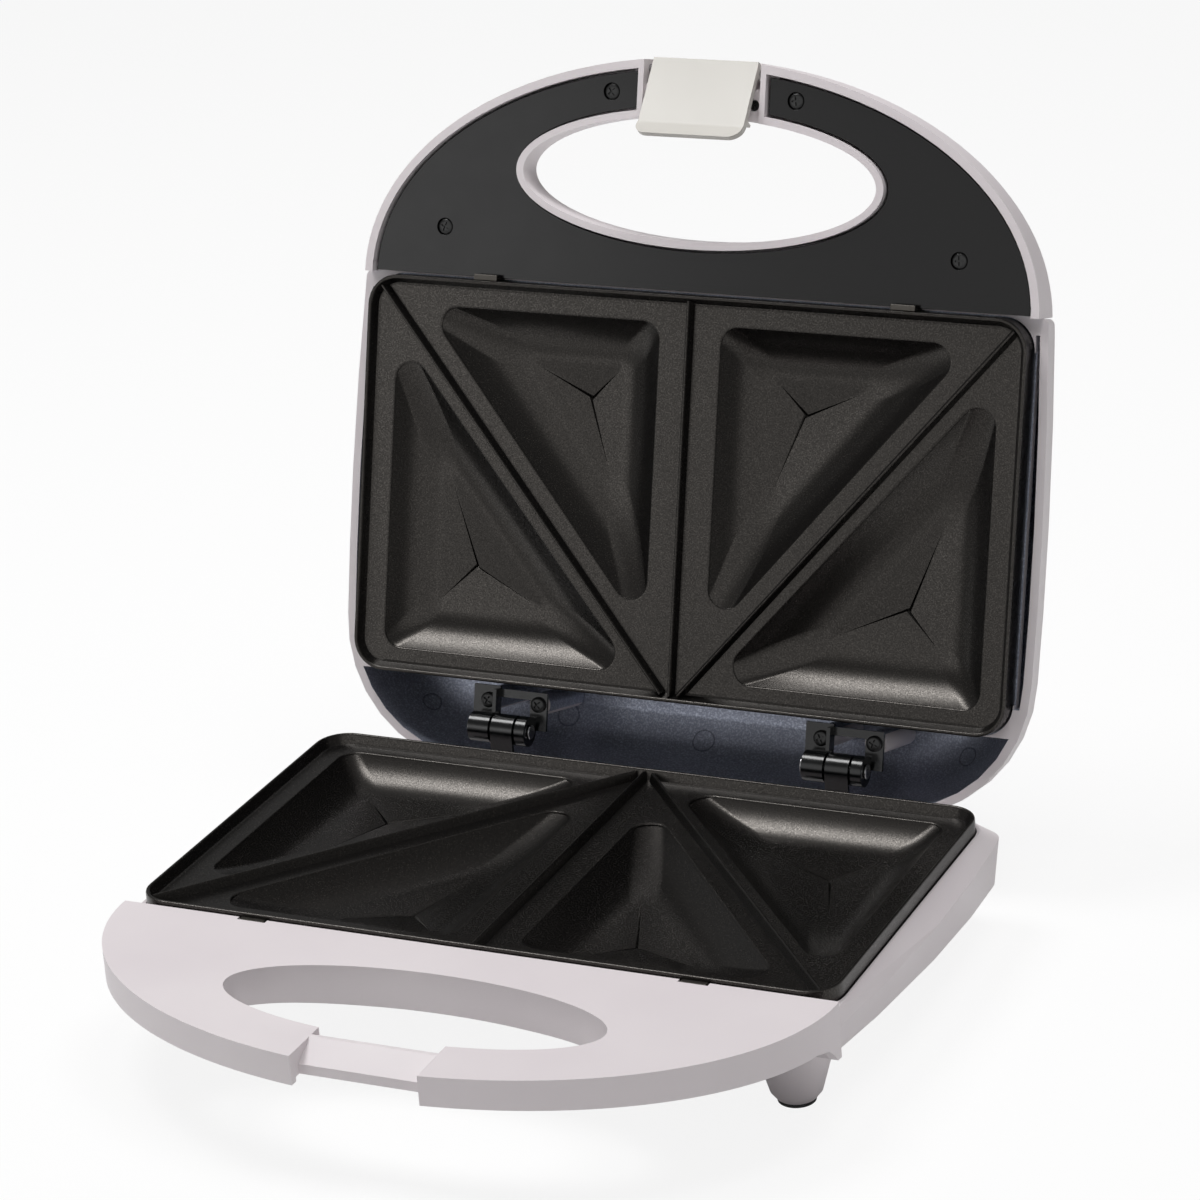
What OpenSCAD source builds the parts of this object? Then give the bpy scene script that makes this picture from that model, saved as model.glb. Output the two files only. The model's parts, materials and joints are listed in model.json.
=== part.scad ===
// Sandwich toaster with a D-shaped handle on each half, two ribbed plates of four
// triangular pockets, a pair of barrel hinges and a clip on the lid's handle.
// Millimetres. The lid is drawn closed in the base's own frame (middle of the lower
// plate, rim plane at z = 0) and is then swung open about the hinge.

/* [Cooking plates] */
// width of both plates
plate_w = 221; // [205:1:222]
// depth of both plates
plate_d = 127; // [122:0.5:128]
// corner radius of both plates
plate_r = 10; // [8:0.5:12]
// height of a plate's outer wall
plate_wall_h = 9; // [8:0.5:10]
// drop from the rim to the flat land
land_drop = 3.2; // [2.5:0.1:3.6]
// depth of the pockets under the rim
pocket_drop = 12.2; // [10:0.1:12.4]
// thickness of the casting
casting_t = 2; // [1.6:0.1:2.2]
// gap between the rims of the closed plates
plate_gap = 0.3; // [0.2:0.1:1]

/* [Hinge] */
// hinge axis behind the plates
hinge_behind = 14.4; // [14:0.1:16]
// hinge axis above the rim plane
hinge_up = 0.4; // [0:0.1:1]
// opening angle in the stored pose
open_angle = 106.1; // [90:0.1:108]
// radius of the hinge barrels
barrel_r = 4.8; // [4.2:0.1:5]
// radius of the hinge pins
pin_r = 1.6; // [1.2:0.1:2]
// running clearance of a pin in a turning bore
run_clear = 0.05; // [0.02:0.01:0.09]
// middle of each hinge from the centre line
hinge_x = 56.9; // [45:0.5:65]

/* [Base] */
// widest half width of the base
base_half_w = 116.8; // [116:0.1:122]
// back face of the base behind the plates
base_behind = 6; // [4.5:0.1:6.5]
// wall thickness of the mouldings
wall = 2.3; // [2:0.1:2.6]
// height of the plate plane over the table
rim_over_table = 40; // [38:1:50]
// feet from the centre line
foot_x = 94.5; // [85:0.5:97]

/* [Lid] */
// widest half width of the lid
lid_half_w = 116.8; // [115.5:0.1:120]
// back face of the closed lid behind the plates
lid_behind = 28.5; // [26.5:0.5:32]
// height of the lid's edge over the rim plane
lid_edge_z = 7; // [6:0.5:8]
// height of the lid's crown over the rim plane
lid_crown_z = 34; // [32:0.5:42]

/* [Handles] */
// half width of the base's handle
grip_a = 113.1; // [112:0.1:116]
// reach of the base's handle
grip_b = 74.3; // [72:0.1:80]
// half width of the lid's handle
lid_grip_a = 113; // [111:0.1:114]
// half width of the finger openings
hole_a = 59; // [45:0.5:62]
// half depth of the finger openings
hole_b = 19.8; // [15:0.1:20.5]
// thickness of a handle's skirt
skirt_t = 2.6; // [2:0.1:3]

/* [Latch] */
// half width of the clip
clip_half_w = 17.5; // [14:0.1:18.5]
// thickness of the clip
clip_t = 2.4; // [2:0.1:2.6]
// length of the clip's finger lip
lip_len = 5.9; // [3:0.1:7]
// outward lean of the finger lip
lip_lean = 26; // [15:1:35]
// angle from the latched place to the stored pose
clip_rest = 63.2; // [58:0.1:64]
// radius of the clip's pin
clip_pin_r = 1.2; // [1:0.1:1.3]

/* [Hidden] */
hinge_y = plate_d/2 + hinge_behind;
base_back = plate_d/2 + base_behind;
lid_back = plate_d/2 + lid_behind;
front_y = -plate_d/2 - 0.5;              // root of both handles
lid_grip_b = grip_b - 2;                 // the lid's handle stands back a little
lid_front = front_y - lid_grip_b;
grip_top = -1.2;                         // top face of the base's handle
crease_z = -10;                          // edge between the base's ledge and its side
ledge_z = -4.7;                          // ledge round the lower plate
floor_z = -20.6;                         // underside at the front of the base
base_corner_r = 6.5;                      // back corners of the base
floor_slope = 0.055;                     // fall of the underside towards the back
seat_t = 2.6;                            // thickness of the seats under the plates
lid_rim_z = 2.4;                         // rim of the lid's handle
lid_grip_z = 11.8;                       // top of the lid's handle at its front
cover_t = 2;                             // thickness of the handle covers
lid_cover_z = 4.2;                       // face of the lid's cover
base_cover_z = -8.8;                     // face of the base's cover
fit = 0.3;                               // gap round pieces that are set in
cover_gap = 0.8;                         // wider gap round the lid's cover
hole_y = front_y - 36.8;                 // middle of the base's finger opening
lid_hole_y = front_y - 35.2;             // middle of the lid's finger opening
post_r = 3.6;
notch_w = 19.5;                          // half width of both notches
catch_y = front_y - grip_b + 5.8;        // front face of the catch
catch_under = -9;                        // underside of the catch
clip_y = lid_front + 3.8;                // clip's pivot in the closed lid
clip_z = 7.6;
clip_face_y = lid_front + 0.2;           // latched front face of the clip
clip_top = 2.1;                          // clip above its pivot
clip_len = clip_z - catch_under + 3.1;   // face below the pivot
ear_r = 2.5;
ear_x = [13, clip_half_w];                // ears on the clip's pin
lip_r = 4;                               // corners of the clip's lip
notch_back = clip_y + 4.8;               // step between the deep slot and its floor
sheet_z = pocket_drop + casting_t + 0.4; // face of the heating sheets under the rims
heater_t = 1.6;
clamp_t = 0.8;
pad_t = 1.4;                             // rubber showing under a foot
foot_r = 7.6;                            // foot near its lower end
foot_tip_r = 5.9;                        // foot at its lower end
foot_flare = 4.6;                        // how much wider it is at its root
foot_tip_h = 2.2;                        // height of the foot's drawn-in end
foot_z = -rim_over_table;
leaf_t = 1.2;                            // steel of the hinges
screw_r = 1.4;
strap_z = hinge_up + barrel_r - leaf_t;  // underside of the lid's hinge leaves
knuckle = [[-9.5, -2.4], [-1.6, 6], [6.8, 10.2]];  // lid, base and lid knuckles along a pin
lamp_x = 12;

boss_xy = [[-53, 1.6], [53, 1.6], [0, -45]];
foot_xy = [for (y = [front_y + 10.5, base_back - 12], s = [-1, 1]) [s*foot_x, y]];
grip_screw_x = [-90, -30, 30, 90];
grip_screw_z = -13.8;
leaf_screws = [[-6.2, -8.3], [11.2, -8.4]];        // from a hinge's middle and its axis
inlet = [-88, base_back, -17];
block_y = base_back - 14.5;               // terminal block
stat_y = plate_d/2 - 11.5;                // thermostat

white = [0.86, 0.84, 0.84];
bright = [0.93, 0.93, 0.92];
black = [0.10, 0.10, 0.10];
coat = [0.19, 0.18, 0.17];
steel = [0.62, 0.62, 0.64];

// brings the middle of the open toaster's box over the origin
back_reach = hinge_y + cos(open_angle)*(lid_front - hinge_y)
    + sin(open_angle)*(lid_grip_z - 2.4 - hinge_up);
y_shift = -(back_reach + front_y - grip_b)/2;

// ------------------------------------------------------------ placing
module on_base() { translate([0, y_shift, rim_over_table]) children(); }
module on_lid() {
    on_base() translate([0, hinge_y, hinge_up]) rotate([-open_angle, 0, 0])
        translate([0, -hinge_y, -hinge_up]) children();
}
module on_latch() {
    on_lid() translate([0, clip_y, clip_z]) rotate([clip_rest, 0, 0]) children();
}
// turns what lies under the lower rim plane into what lies over the upper one
module upper() { translate([0, 0, plate_gap]) mirror([0, 0, 1]) children(); }

// ------------------------------------------------------------ helpers
module rrect(w, d, r) {
    square([w - 2*r, d], center = true);
    square([w, d - 2*r], center = true);
    for (x = [-1, 1], y = [-1, 1]) translate([x*(w/2 - r), y*(d/2 - r)]) circle(r, $fn = 48);
}
module slab(z0, z1) { translate([0, 0, z0]) linear_extrude(z1 - z0) children(); }
module oval(a, b, yc) { translate([0, yc]) scale([a, b]) circle(1, $fn = 120); }
// half oval whose straight side lies at back
module dee(a, b, in = 0, back = front_y) {
    intersection() {
        oval(a - in, b - in, front_y);
        translate([-150, -200]) square([300, 200 + back]);
    }
}
// a profile drawn as [y, z], swept along x
module sweep(half) {
    translate([-half, 0, 0]) rotate([90, 0, 90]) linear_extrude(2*half) children();
}
module block(x, y, z) {
    translate([x[0], y[0], z[0]]) cube([x[1] - x[0], y[1] - y[0], z[1] - z[0]]);
}
module rod_y(r, y, z, x = 0) {
    translate([x, y[0], z]) rotate([-90, 0, 0]) cylinder(r = r, h = y[1] - y[0], $fn = 40);
}
module rod_x(r, x, y, z) {
    translate([x[0], y, z]) rotate([0, 90, 0]) cylinder(r = r, h = x[1] - x[0], $fn = 48);
}
// cross-head screw: head top at z = 0, shank downwards
module screw(r_head, h_head, r_shank, len) {
    difference() {
        cylinder(r = r_head, h = h_head, $fn = 40);
        for (a = [0, 90]) rotate(a) translate([-r_head*0.55, -0.3, h_head - 0.6])
            cube([r_head*1.1, 0.6, 1]);
    }
    translate([0, 0, -len]) cylinder(r = r_shank, h = len + 0.1, $fn = 32);
}
// insulated lead through a list of points
module lead(points, r = 0.9) {
    for (i = [0:len(points) - 2]) {
        d = points[i + 1] - points[i];
        translate(points[i]) rotate([0, acos(d[2]/norm(d)), atan2(d[1], d[0])])
            translate([0, 0, -0.4*r]) cylinder(r = r, h = norm(d) + 0.8*r, $fn = 6);
    }
}
// a mirrored pair of thin discs whose outer sides touch x
module discs(x, y, z, r) {
    for (s = [-1, 1]) translate([s*(x - r), y, z]) cylinder(r = r, h = 0.02, $fn = 32);
}
function base_w(y) = base_half_w - pow(y - 15, 2)/1350;
function lid_w(y) = lid_half_w - pow(y - 12, 2)/2600;
function base_floor(y) = floor_z - floor_slope*(y - front_y);

// ------------------------------------------------------------ base mouldings
module base_ring(in, back_in, z0, slope = 0) {
    for (y = [front_y + back_in + 2, -plate_d*0.24, plate_d*0.04, plate_d*0.3])
        discs(base_w(y) - in, y, z0 - slope*(y - front_y), 2);
    r = base_corner_r - back_in;
    discs(base_w(base_back) - in, base_back - back_in - r, z0 - slope*(base_back - front_y), r);
}
module tub() {
    difference() {
        hull() {
            discs(plate_w/2 + 1, front_y + 2, ledge_z, 2);
            discs(plate_w/2 + 1, plate_d/2 + 1 - plate_r, ledge_z, plate_r);
            base_ring(0, 0, crease_z);
            base_ring(1.9, 0, floor_z + 2.6, floor_slope);
            base_ring(4.2, 2, floor_z, floor_slope);
        }
        hull() {
            base_ring(wall, wall, crease_z - 1.8);
            base_ring(wall + 1.7, wall, floor_z + wall + 2.4, floor_slope);
            base_ring(wall + 4, wall + 2, floor_z + wall, floor_slope);
        }
    }
}
// ring that carries the edge of a plate's wall
module seat() {
    slab(-plate_wall_h - seat_t, -plate_wall_h) difference() {
        rrect(plate_w + 1, plate_d + 1, plate_r + 0.5);
        rrect(plate_w - 5, plate_d - 5, plate_r - 2.5);
    }
}

module base_shell() color(white) on_base() difference() {
    union() {
        tub();
        seat();
        for (p = foot_xy) translate([p[0], p[1], foot_z + pad_t]) {
            cylinder(r1 = foot_tip_r, r2 = foot_r, h = foot_tip_h, $fn = 64);
            translate([0, 0, foot_tip_h]) cylinder(r1 = foot_r, r2 = foot_r + foot_flare,
                h = base_floor(p[1]) - foot_z - pad_t + 1.2 - foot_tip_h, $fn = 64);
        }
        // flat round the cord's inlet
        rod_y(6.6, [base_back - wall - 0.5, base_back + 0.8], inlet[2], inlet[0]);
        // ribs that hold the terminal block
        for (x = [-80.5, -49]) block([x, x + 1.5], [block_y - 5, block_y + 5],
            [base_floor(block_y - 5) + 1, -19]);
    }
    slab(-plate_wall_h, 2) rrect(plate_w + 0.8, plate_d + 0.8, plate_r + 0.4);
    slab(-plate_wall_h - seat_t - 1, 2) rrect(plate_w - 5, plate_d - 5, plate_r - 2.5);
    for (p = foot_xy) translate([p[0], p[1], 0]) {
        translate([0, 0, foot_z + pad_t + 4])
            cylinder(r1 = 4.6, r2 = 8.6, h = base_floor(p[1]) - foot_z - pad_t, $fn = 64);
        translate([0, 0, foot_z]) cylinder(r = 4.5, h = pad_t + 2.4, $fn = 64);
    }
    rod_y(4.4, [base_back - 6, base_back + 2], inlet[2], inlet[0]);
    rod_y(5.3, [base_back - 7, base_back - wall - 0.5], inlet[2], inlet[0]);
    for (s = [-1, 1], d = [-7, 7])
        rod_y(screw_r + 0.1, [base_back - 6, base_back + 2], -14, s*hinge_x + d);
    for (x = grip_screw_x) rod_y(screw_r + 0.1, [front_y - 1, front_y + 5], grip_screw_z, x);
    clip_slots();
}

module base_handle() color(white) on_base() difference() {
    union() {
        difference() {
            intersection() {
                slab(-20, grip_top) dee(grip_a, grip_b);
                sweep(150) polygon([[-160, 0], [front_y, 0], [front_y, -18.4], [front_y - 2.4, -18.2],
                    [front_y - 4.4, -15.8], [front_y - 7.5, -13], [front_y - 13, -11.6], [-160, -9.8]]);
            }
            slab(-21, grip_top - wall) dee(grip_a, grip_b, skirt_t, front_y - wall);
        }
        // wall round the finger opening
        intersection() {
            slab(-14, grip_top) oval(hole_a + 2.4, hole_b + 2.4, hole_y);
            sweep(150) polygon([[-160, 0], [-70, 0], [-70, -14], [hole_y + hole_b - 2, -13.7],
                [hole_y - hole_b, -9.3], [-160, -9.3]]);
        }
        // catch that the clip's hook goes under, and the notch's cheeks
        intersection() {
            slab(catch_under, grip_top) dee(grip_a, grip_b);
            block([-notch_w - 2, notch_w + 2], [-160, hole_y - hole_b + 3], [-20, 5]);
        }
        for (p = cover_screws(grip_a, grip_b)) translate([p[0], p[1], base_cover_z + cover_t])
            cylinder(r = post_r, h = grip_top - base_cover_z - cover_t, $fn = 40);
        for (x = grip_screw_x) rod_y(2.2, [front_y - 8, front_y], grip_screw_z, x);
    }
    slab(-30, 5) oval(hole_a, hole_b, hole_y);
    // notch for the clip, the ramp that lifts it, and room for the folded clip
    block([-notch_w, notch_w], [-200, catch_y], [-30, 5]);
    sweep(notch_w) polygon([[catch_y - 2, -6], [catch_y, -6], [catch_y + 7.5, grip_top],
        [catch_y + 7.5, 5], [catch_y - 2, 5]]);
    sweep(notch_w) polygon([[catch_y + 8.6, grip_top + 0.01], [catch_y + 18, grip_top - 5.4],
        [catch_y + 18, 5], [catch_y + 8.6, 5]]);
    for (p = cover_screws(grip_a, grip_b)) translate([p[0], p[1], base_cover_z])
        cylinder(r = screw_r + 0.05, h = cover_t + 4.6, $fn = 32);
    for (x = grip_screw_x) rod_y(screw_r + 0.05, [front_y - 6.5, front_y + 1], grip_screw_z, x);
    clip_slots();
}
// four places along a handle's edge
function cover_screws(a, b) = [for (s = [-1, 1], t = [[0.763, 0.215], [0.272, 0.84]])
    [s*t[0]*a, front_y - t[1]*b]];

module base_handle_screws() color(steel) on_base()
    for (x = grip_screw_x) translate([x, front_y + wall, grip_screw_z]) rotate([-90, 0, 0])
        screw(2, 1.6, screw_r, wall + 6);

module base_handle_cover() color(black) on_base() difference() {
    slab(base_cover_z, base_cover_z + cover_t) difference() {
        dee(grip_a, grip_b, skirt_t + fit, front_y - 8.5);
        oval(hole_a + 2.4 + fit, hole_b + 2.4 + fit, hole_y);
        translate([-notch_w - 2 - fit, -200])
            square([2*(notch_w + 2 + fit), 200 + hole_y - hole_b + 3 + fit]);
    }
    for (p = cover_screws(grip_a, grip_b)) translate([p[0], p[1], base_cover_z - 1])
        cylinder(r = screw_r + 0.1, h = 9, $fn = 32);
}
module base_cover_screws() color(steel) on_base()
    for (p = cover_screws(grip_a, grip_b)) translate([p[0], p[1], base_cover_z])
        rotate([180, 0, 0]) screw(2.8, 1.2, screw_r, cover_t + 4);

// ------------------------------------------------------------ plates
// right-angled pocket corners: [right angle, end of the x leg, end of the y leg]
inner_pocket = [[10.5, -plate_d/2 + 9.2], [plate_w/2 - 18.7, -plate_d/2 + 9.2],
    [10.5, plate_d/2 - 21]];
outer_pocket = [[plate_w/2 - 9.5, plate_d/2 - 7.5], [plate_w/2 - 9.5, -plate_d/2 + 18.3],
    [13.6, plate_d/2 - 7.5]];
function incentre(t) = let (a = norm(t[1] - t[2]), b = norm(t[0] - t[2]), c = norm(t[0] - t[1]))
    (a*t[0] + b*t[1] + c*t[2])/(a + b + c);
function inradius(t) = let (u = t[1] - t[0], v = t[2] - t[0])
    abs(u[0]*v[1] - u[1]*v[0])/(norm(u) + norm(v) + norm(t[1] - t[2]));
// thin triangle with rounded corners, drawn in from t by in
module tri_layer(t, in, r, z) {
    c = incentre(t);
    for (p = t) translate(concat(c + (p - c)*(inradius(t) - in - r)/inradius(t), z))
        cylinder(r = r, h = 0.02, $fn = 24);
}
// room of one pocket: steep at the top, round to the floor, with a shallow point;
// out makes it thicker for the underside
module pocket(t, out = 0) {
    hull() {
        tri_layer(t, -0.3 - out, 5.5 + out, out > 0 ? -land_drop - casting_t + 0.5 : -land_drop);
        tri_layer(t, 0.8 - out, 5 + out, -pocket_drop*0.56 - out*0.6);
        tri_layer(t, 3 - out, 4 + out, -pocket_drop*0.8 - out*0.9);
        tri_layer(t, 6.4 - out, 2.5 + out, -pocket_drop*0.95 - out);
        tri_layer(t, 9.5 - out, 0.6 + out, -pocket_drop - out);
        translate(concat(incentre(t), -pocket_drop - 0.4 - out)) cylinder(r = 0.3, h = 0.1, $fn = 8);
    }
}
module four_pockets(out = 0) {
    for (s = [0, 1], t = [inner_pocket, outer_pocket]) mirror([s, 0, 0]) pocket(t, out);
}
// a raised rib from p to q with sloping sides
module rib(p, q) {
    d = q - p;
    translate(concat(p, 0)) rotate(atan2(d[1], d[0])) rotate([90, 0, 90])
        linear_extrude(norm(d)) polygon([[-1.4, -land_drop - 0.3], [1.4, -land_drop - 0.3],
            [0.5, -0.3], [-0.5, -0.3]]);
}
module plate() {
    difference() {
        union() {
            difference() {
                slab(-plate_wall_h, 0) rrect(plate_w, plate_d, plate_r);
                hull() {
                    slab(-land_drop, -land_drop + 0.02) rrect(plate_w - 5.2, plate_d - 5.2, plate_r - 2.6);
                    slab(0, 0.1) rrect(plate_w - 2.4, plate_d - 2.4, plate_r - 1.2);
                }
                slab(-plate_wall_h - 1, -land_drop - casting_t)
                    rrect(plate_w - 2*casting_t, plate_d - 2*casting_t, plate_r - casting_t);
            }
            four_pockets(casting_t);
            for (p = boss_xy) translate([p[0], p[1], -sheet_z])
                cylinder(r = 3.4, h = sheet_z - land_drop - 0.5, $fn = 32);
            rib([0, -plate_d/2 + 1.6], [0, plate_d/2 - 1.8]);
            for (s = [-1, 1]) rib([s*3, plate_d/2 - 2.2], [s*(plate_w/2 - 4.4), -plate_d/2 + 3.6]);
        }
        four_pockets();
        for (p = boss_xy) translate([p[0], p[1], -sheet_z - 1])
            cylinder(r = screw_r + 0.05, h = 8.5, $fn = 24);
    }
}
// flat heating sheet, and the steel sheet that presses it on
module pressed_sheet(z, t, w, d) {
    slab(z - t, z) difference() {
        rrect(w, d, 4);
        for (p = boss_xy) translate(p) circle(screw_r + 0.3, $fn = 32);
    }
}
module heater() { pressed_sheet(-sheet_z, heater_t, plate_w - 46, plate_d - 39); }
module clamp_plate() { pressed_sheet(-sheet_z - heater_t, clamp_t, plate_w - 40, plate_d - 33); }
module clamp_screws() {
    for (p = boss_xy) translate([p[0], p[1], -sheet_z - heater_t - clamp_t])
        rotate([180, 0, 0]) screw(2.8, 1, screw_r, heater_t + clamp_t + 6);
}
// spring tabs between a plate's front wall and the handle's root
module plate_clips() {
    for (x = [-70, 70]) {
        block([x - 4, x + 4], [-plate_d/2 - 0.9, -plate_d/2 - 0.1], [-plate_wall_h - 1.6, grip_top]);
        block([x - 4, x + 4], [-plate_d/2 - 1.9, -plate_d/2 - 0.1], [grip_top - 0.8, grip_top]);
    }
}
module clip_slots() {
    for (x = [-70, 70]) block([x - 4.6, x + 4.6], [front_y - 1.6, front_y + 1], [-plate_wall_h - 2, 1]);
}

module lower_plate() color(coat) on_base() plate();
module lower_heater() color([0.80, 0.74, 0.55]) on_base() heater();
module lower_clamp_plate() color(steel) on_base() clamp_plate();
module lower_clamp_screws() color(steel) on_base() clamp_screws();
module lower_plate_clips() color(steel) on_base() plate_clips();
module upper_plate() color(coat) on_lid() upper() plate();
module upper_heater() color([0.80, 0.74, 0.55]) on_lid() upper() heater();
module upper_clamp_plate() color(steel) on_lid() upper() clamp_plate();
module upper_clamp_screws() color(steel) on_lid() upper() clamp_screws();
module upper_plate_clips() color(steel) on_lid() upper() plate_clips();

// ------------------------------------------------------------ electrics
land_under = -land_drop - casting_t;     // underside of the casting's flat land
module thermostat() color(steel) on_base() {
    translate([0, stat_y, land_under - 5]) cylinder(r = 7.5, h = 4.9, $fn = 48);
    translate([0, stat_y, land_under - 8]) cylinder(r = 3.5, h = 3.1, $fn = 40);
    for (x = [-5, 5]) block([x - 1.5, x + 1.5], [stat_y - 0.4, stat_y + 0.4],
        [land_under - 9, land_under - 4.9]);
}
module thermal_fuse() color([0.75, 0.72, 0.65]) on_base()
    rod_y(1.9, [18, 30], land_under - 2, 0);
module terminal_block() color([0.90, 0.88, 0.80]) on_base() difference() {
    block([-78.8, -49.2], [block_y - 4.5, block_y + 4.5], [base_floor(block_y - 5) + wall + 0.1, -16.2]);
    for (x = [-74, -64, -54]) rod_y(1.6, [block_y - 6, block_y + 6], -18.6, x);
}
module base_leads() color([0.80, 0.30, 0.22]) on_base() {
    lead([[-54, block_y + 4.8, -18.6], [-54, block_y + 6.8, -17.6], [-20, block_y + 6.8, -16],
        [-6.8, stat_y + 6, -14.6], [-6.8, stat_y + 1.6, -13.4]]);
    lead([[6.8, stat_y + 1.6, -13.4], [6.8, stat_y + 6, -14.6], [20, stat_y + 9.6, -16],
        [99, stat_y + 9.2, -16], [99, 40, -18.6], [88, 30, -18.9], [88, 24, -18.9]]);
    lead([[-64, block_y - 4.8, -18.9], [-64, block_y - 7, -19.1], [-88, 44, -19.4], [-88, 30, -19.4],
        [-86, 24, -19]]);
}
module cord_inlet() color(black) on_base() translate([inlet[0], 0, inlet[2]]) rotate([-90, 0, 0]) {
    difference() {
        union() {
            translate([0, 0, base_back - wall - 1]) cylinder(r = 4.3, h = wall + 2, $fn = 48);
            translate([0, 0, base_back - wall - 2]) cylinder(r = 5.1, h = 1.5, $fn = 48);
            translate([0, 0, base_back + 0.8]) cylinder(r = 5.8, h = 2, $fn = 48);
        }
        translate([0, 0, base_back - 10]) cylinder(r = 3.2, h = 20, $fn = 48);
    }
}
module foot_pad(i) color([0.16, 0.16, 0.17]) on_base()
    translate([foot_xy[i][0], foot_xy[i][1], foot_z]) {
        cylinder(r = foot_tip_r - 0.3, h = pad_t, $fn = 64);
        cylinder(r = 4.4, h = pad_t + 2.2, $fn = 64);
    }

// ------------------------------------------------------------ hinges
module barrel(i) { rod_x(barrel_r, [knuckle[i][0], knuckle[i][1]], hinge_y, hinge_up); }
module base_hinge(s) color([0.13, 0.13, 0.14]) on_base() translate([s*hinge_x, 0, 0]) difference() {
    union() {
        barrel(1);
        block([knuckle[1][0], knuckle[1][1]], [hinge_y - barrel_r, hinge_y - barrel_r + leaf_t],
            [-7, hinge_up]);
        block([knuckle[1][0], knuckle[1][1]], [base_back, hinge_y - barrel_r + leaf_t], [-8.2, -7]);
        block([-10.5, 10.5], [base_back, base_back + leaf_t], [-18, -7]);
    }
    rod_x(pin_r + run_clear, [-20, 20], hinge_y, hinge_up);
    for (d = [-7, 7]) rod_y(screw_r + 0.1, [base_back - 1, base_back + 4], -14, d);
}
module base_hinge_left() base_hinge(-1);
module base_hinge_right() base_hinge(1);
module base_hinge_screws() color(black) on_base()
    for (s = [-1, 1], d = [-7, 7]) translate([s*hinge_x + d, base_back + leaf_t, -14])
        rotate([-90, 0, 0]) screw(2.7, 1.5, screw_r, leaf_t + wall + 2);

module lid_hinge(s) color([0.13, 0.13, 0.14]) on_lid() translate([s*hinge_x, 0, 0]) difference() {
    union() {
        for (i = [0, 2]) barrel(i);
        // leaves running forward from the barrels, and the strip that joins them
        block([-11.5, knuckle[0][1]], [hinge_y - 13, hinge_y], [strap_z, strap_z + leaf_t]);
        block([8.3, 14.1], [hinge_y - 12.2, hinge_y], [strap_z, strap_z + leaf_t]);
        block([-11.5, 14.1], [hinge_y - 12.2, hinge_y - 9.6], [strap_z, strap_z + leaf_t]);
        // bent flange beside the base's knuckle
        block([-3.6, knuckle[0][1]], [hinge_y - 12.2, hinge_y - 5], [strap_z - 3, strap_z + leaf_t]);
    }
    rod_x(pin_r + 0.02, [-20, 20], hinge_y, hinge_up);
    for (p = leaf_screws) translate([p[0], hinge_y + p[1], 0]) cylinder(r = screw_r + 0.1, h = 20, $fn = 32);
}
module lid_hinge_left() lid_hinge(-1);
module lid_hinge_right() lid_hinge(1);
module lid_hinge_screws() color(black) on_lid() for (s = [-1, 1], p = leaf_screws)
    translate([s*hinge_x + p[0], hinge_y + p[1], strap_z]) rotate([180, 0, 0])
        screw(2.5, 1.3, screw_r, leaf_t + 7);
module hinge_pin(s) color(steel) on_lid() translate([s*hinge_x, 0, 0]) {
    rod_x(pin_r, [knuckle[0][0] - 0.1, knuckle[2][1] + 0.1], hinge_y, hinge_up);
    rod_x(pin_r + 1.1, [knuckle[0][0] - 1.2, knuckle[0][0] - 0.1], hinge_y, hinge_up);
    rod_x(pin_r + 0.7, [knuckle[2][1] + 0.1, knuckle[2][1] + 0.8], hinge_y, hinge_up);
}
module hinge_pin_left() hinge_pin(-1);
module hinge_pin_right() hinge_pin(1);

// ------------------------------------------------------------ lid mouldings
lid_corner_r = 45;
module lid_ring(in, corner_in, z) {
    for (y = [front_y + in + 2, -plate_d*0.24, 0, plate_d*0.2]) discs(lid_w(y) - in, y, z, 2);
    corner_y = lid_back - lid_corner_r;
    discs(lid_w(corner_y) - corner_in, corner_y, z, lid_corner_r - corner_in);
}
// outline of the lid's edge
module lid_plan(in) {
    corner_y = lid_back - lid_corner_r;
    corner_x = lid_w(corner_y) - lid_corner_r;
    for (s = [-1, 1]) translate([s*corner_x, corner_y]) circle(lid_corner_r - in, $fn = 96);
    translate([-corner_x, 0]) square([2*corner_x, lid_back - in]);
    intersection() {
        translate([lid_half_w - 1300, 12]) circle(1300 - in, $fn = 360);
        translate([1300 - lid_half_w, 12]) circle(1300 - in, $fn = 360);
        translate([-150, front_y + in]) square([300, corner_y - front_y - in]);
    }
}
module lid_outer() {
    hull() {
        lid_ring(0, 0, lid_edge_z);
        lid_ring(0.4, 0.4, lid_edge_z + 7);
        lid_ring(4.6, 6.5, lid_crown_z - 7);
        lid_ring(9.5, 12, lid_crown_z - 2.5);
        lid_ring(19, 21, lid_crown_z - 0.02);
    }
}
module lid_inner() {
    hull() {
        lid_ring(wall + 0.3, wall + 0.3, lid_edge_z - 1);
        lid_ring(wall + 0.7, wall + 0.7, lid_edge_z + 6.6);
        lid_ring(wall + 4.6, wall + 6.2, lid_crown_z - 8.4);
        lid_ring(wall + 8.8, wall + 11, lid_crown_z - 4.5);
        lid_ring(wall + 17, wall + 19, lid_crown_z - wall - 0.02);
    }
}
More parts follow.
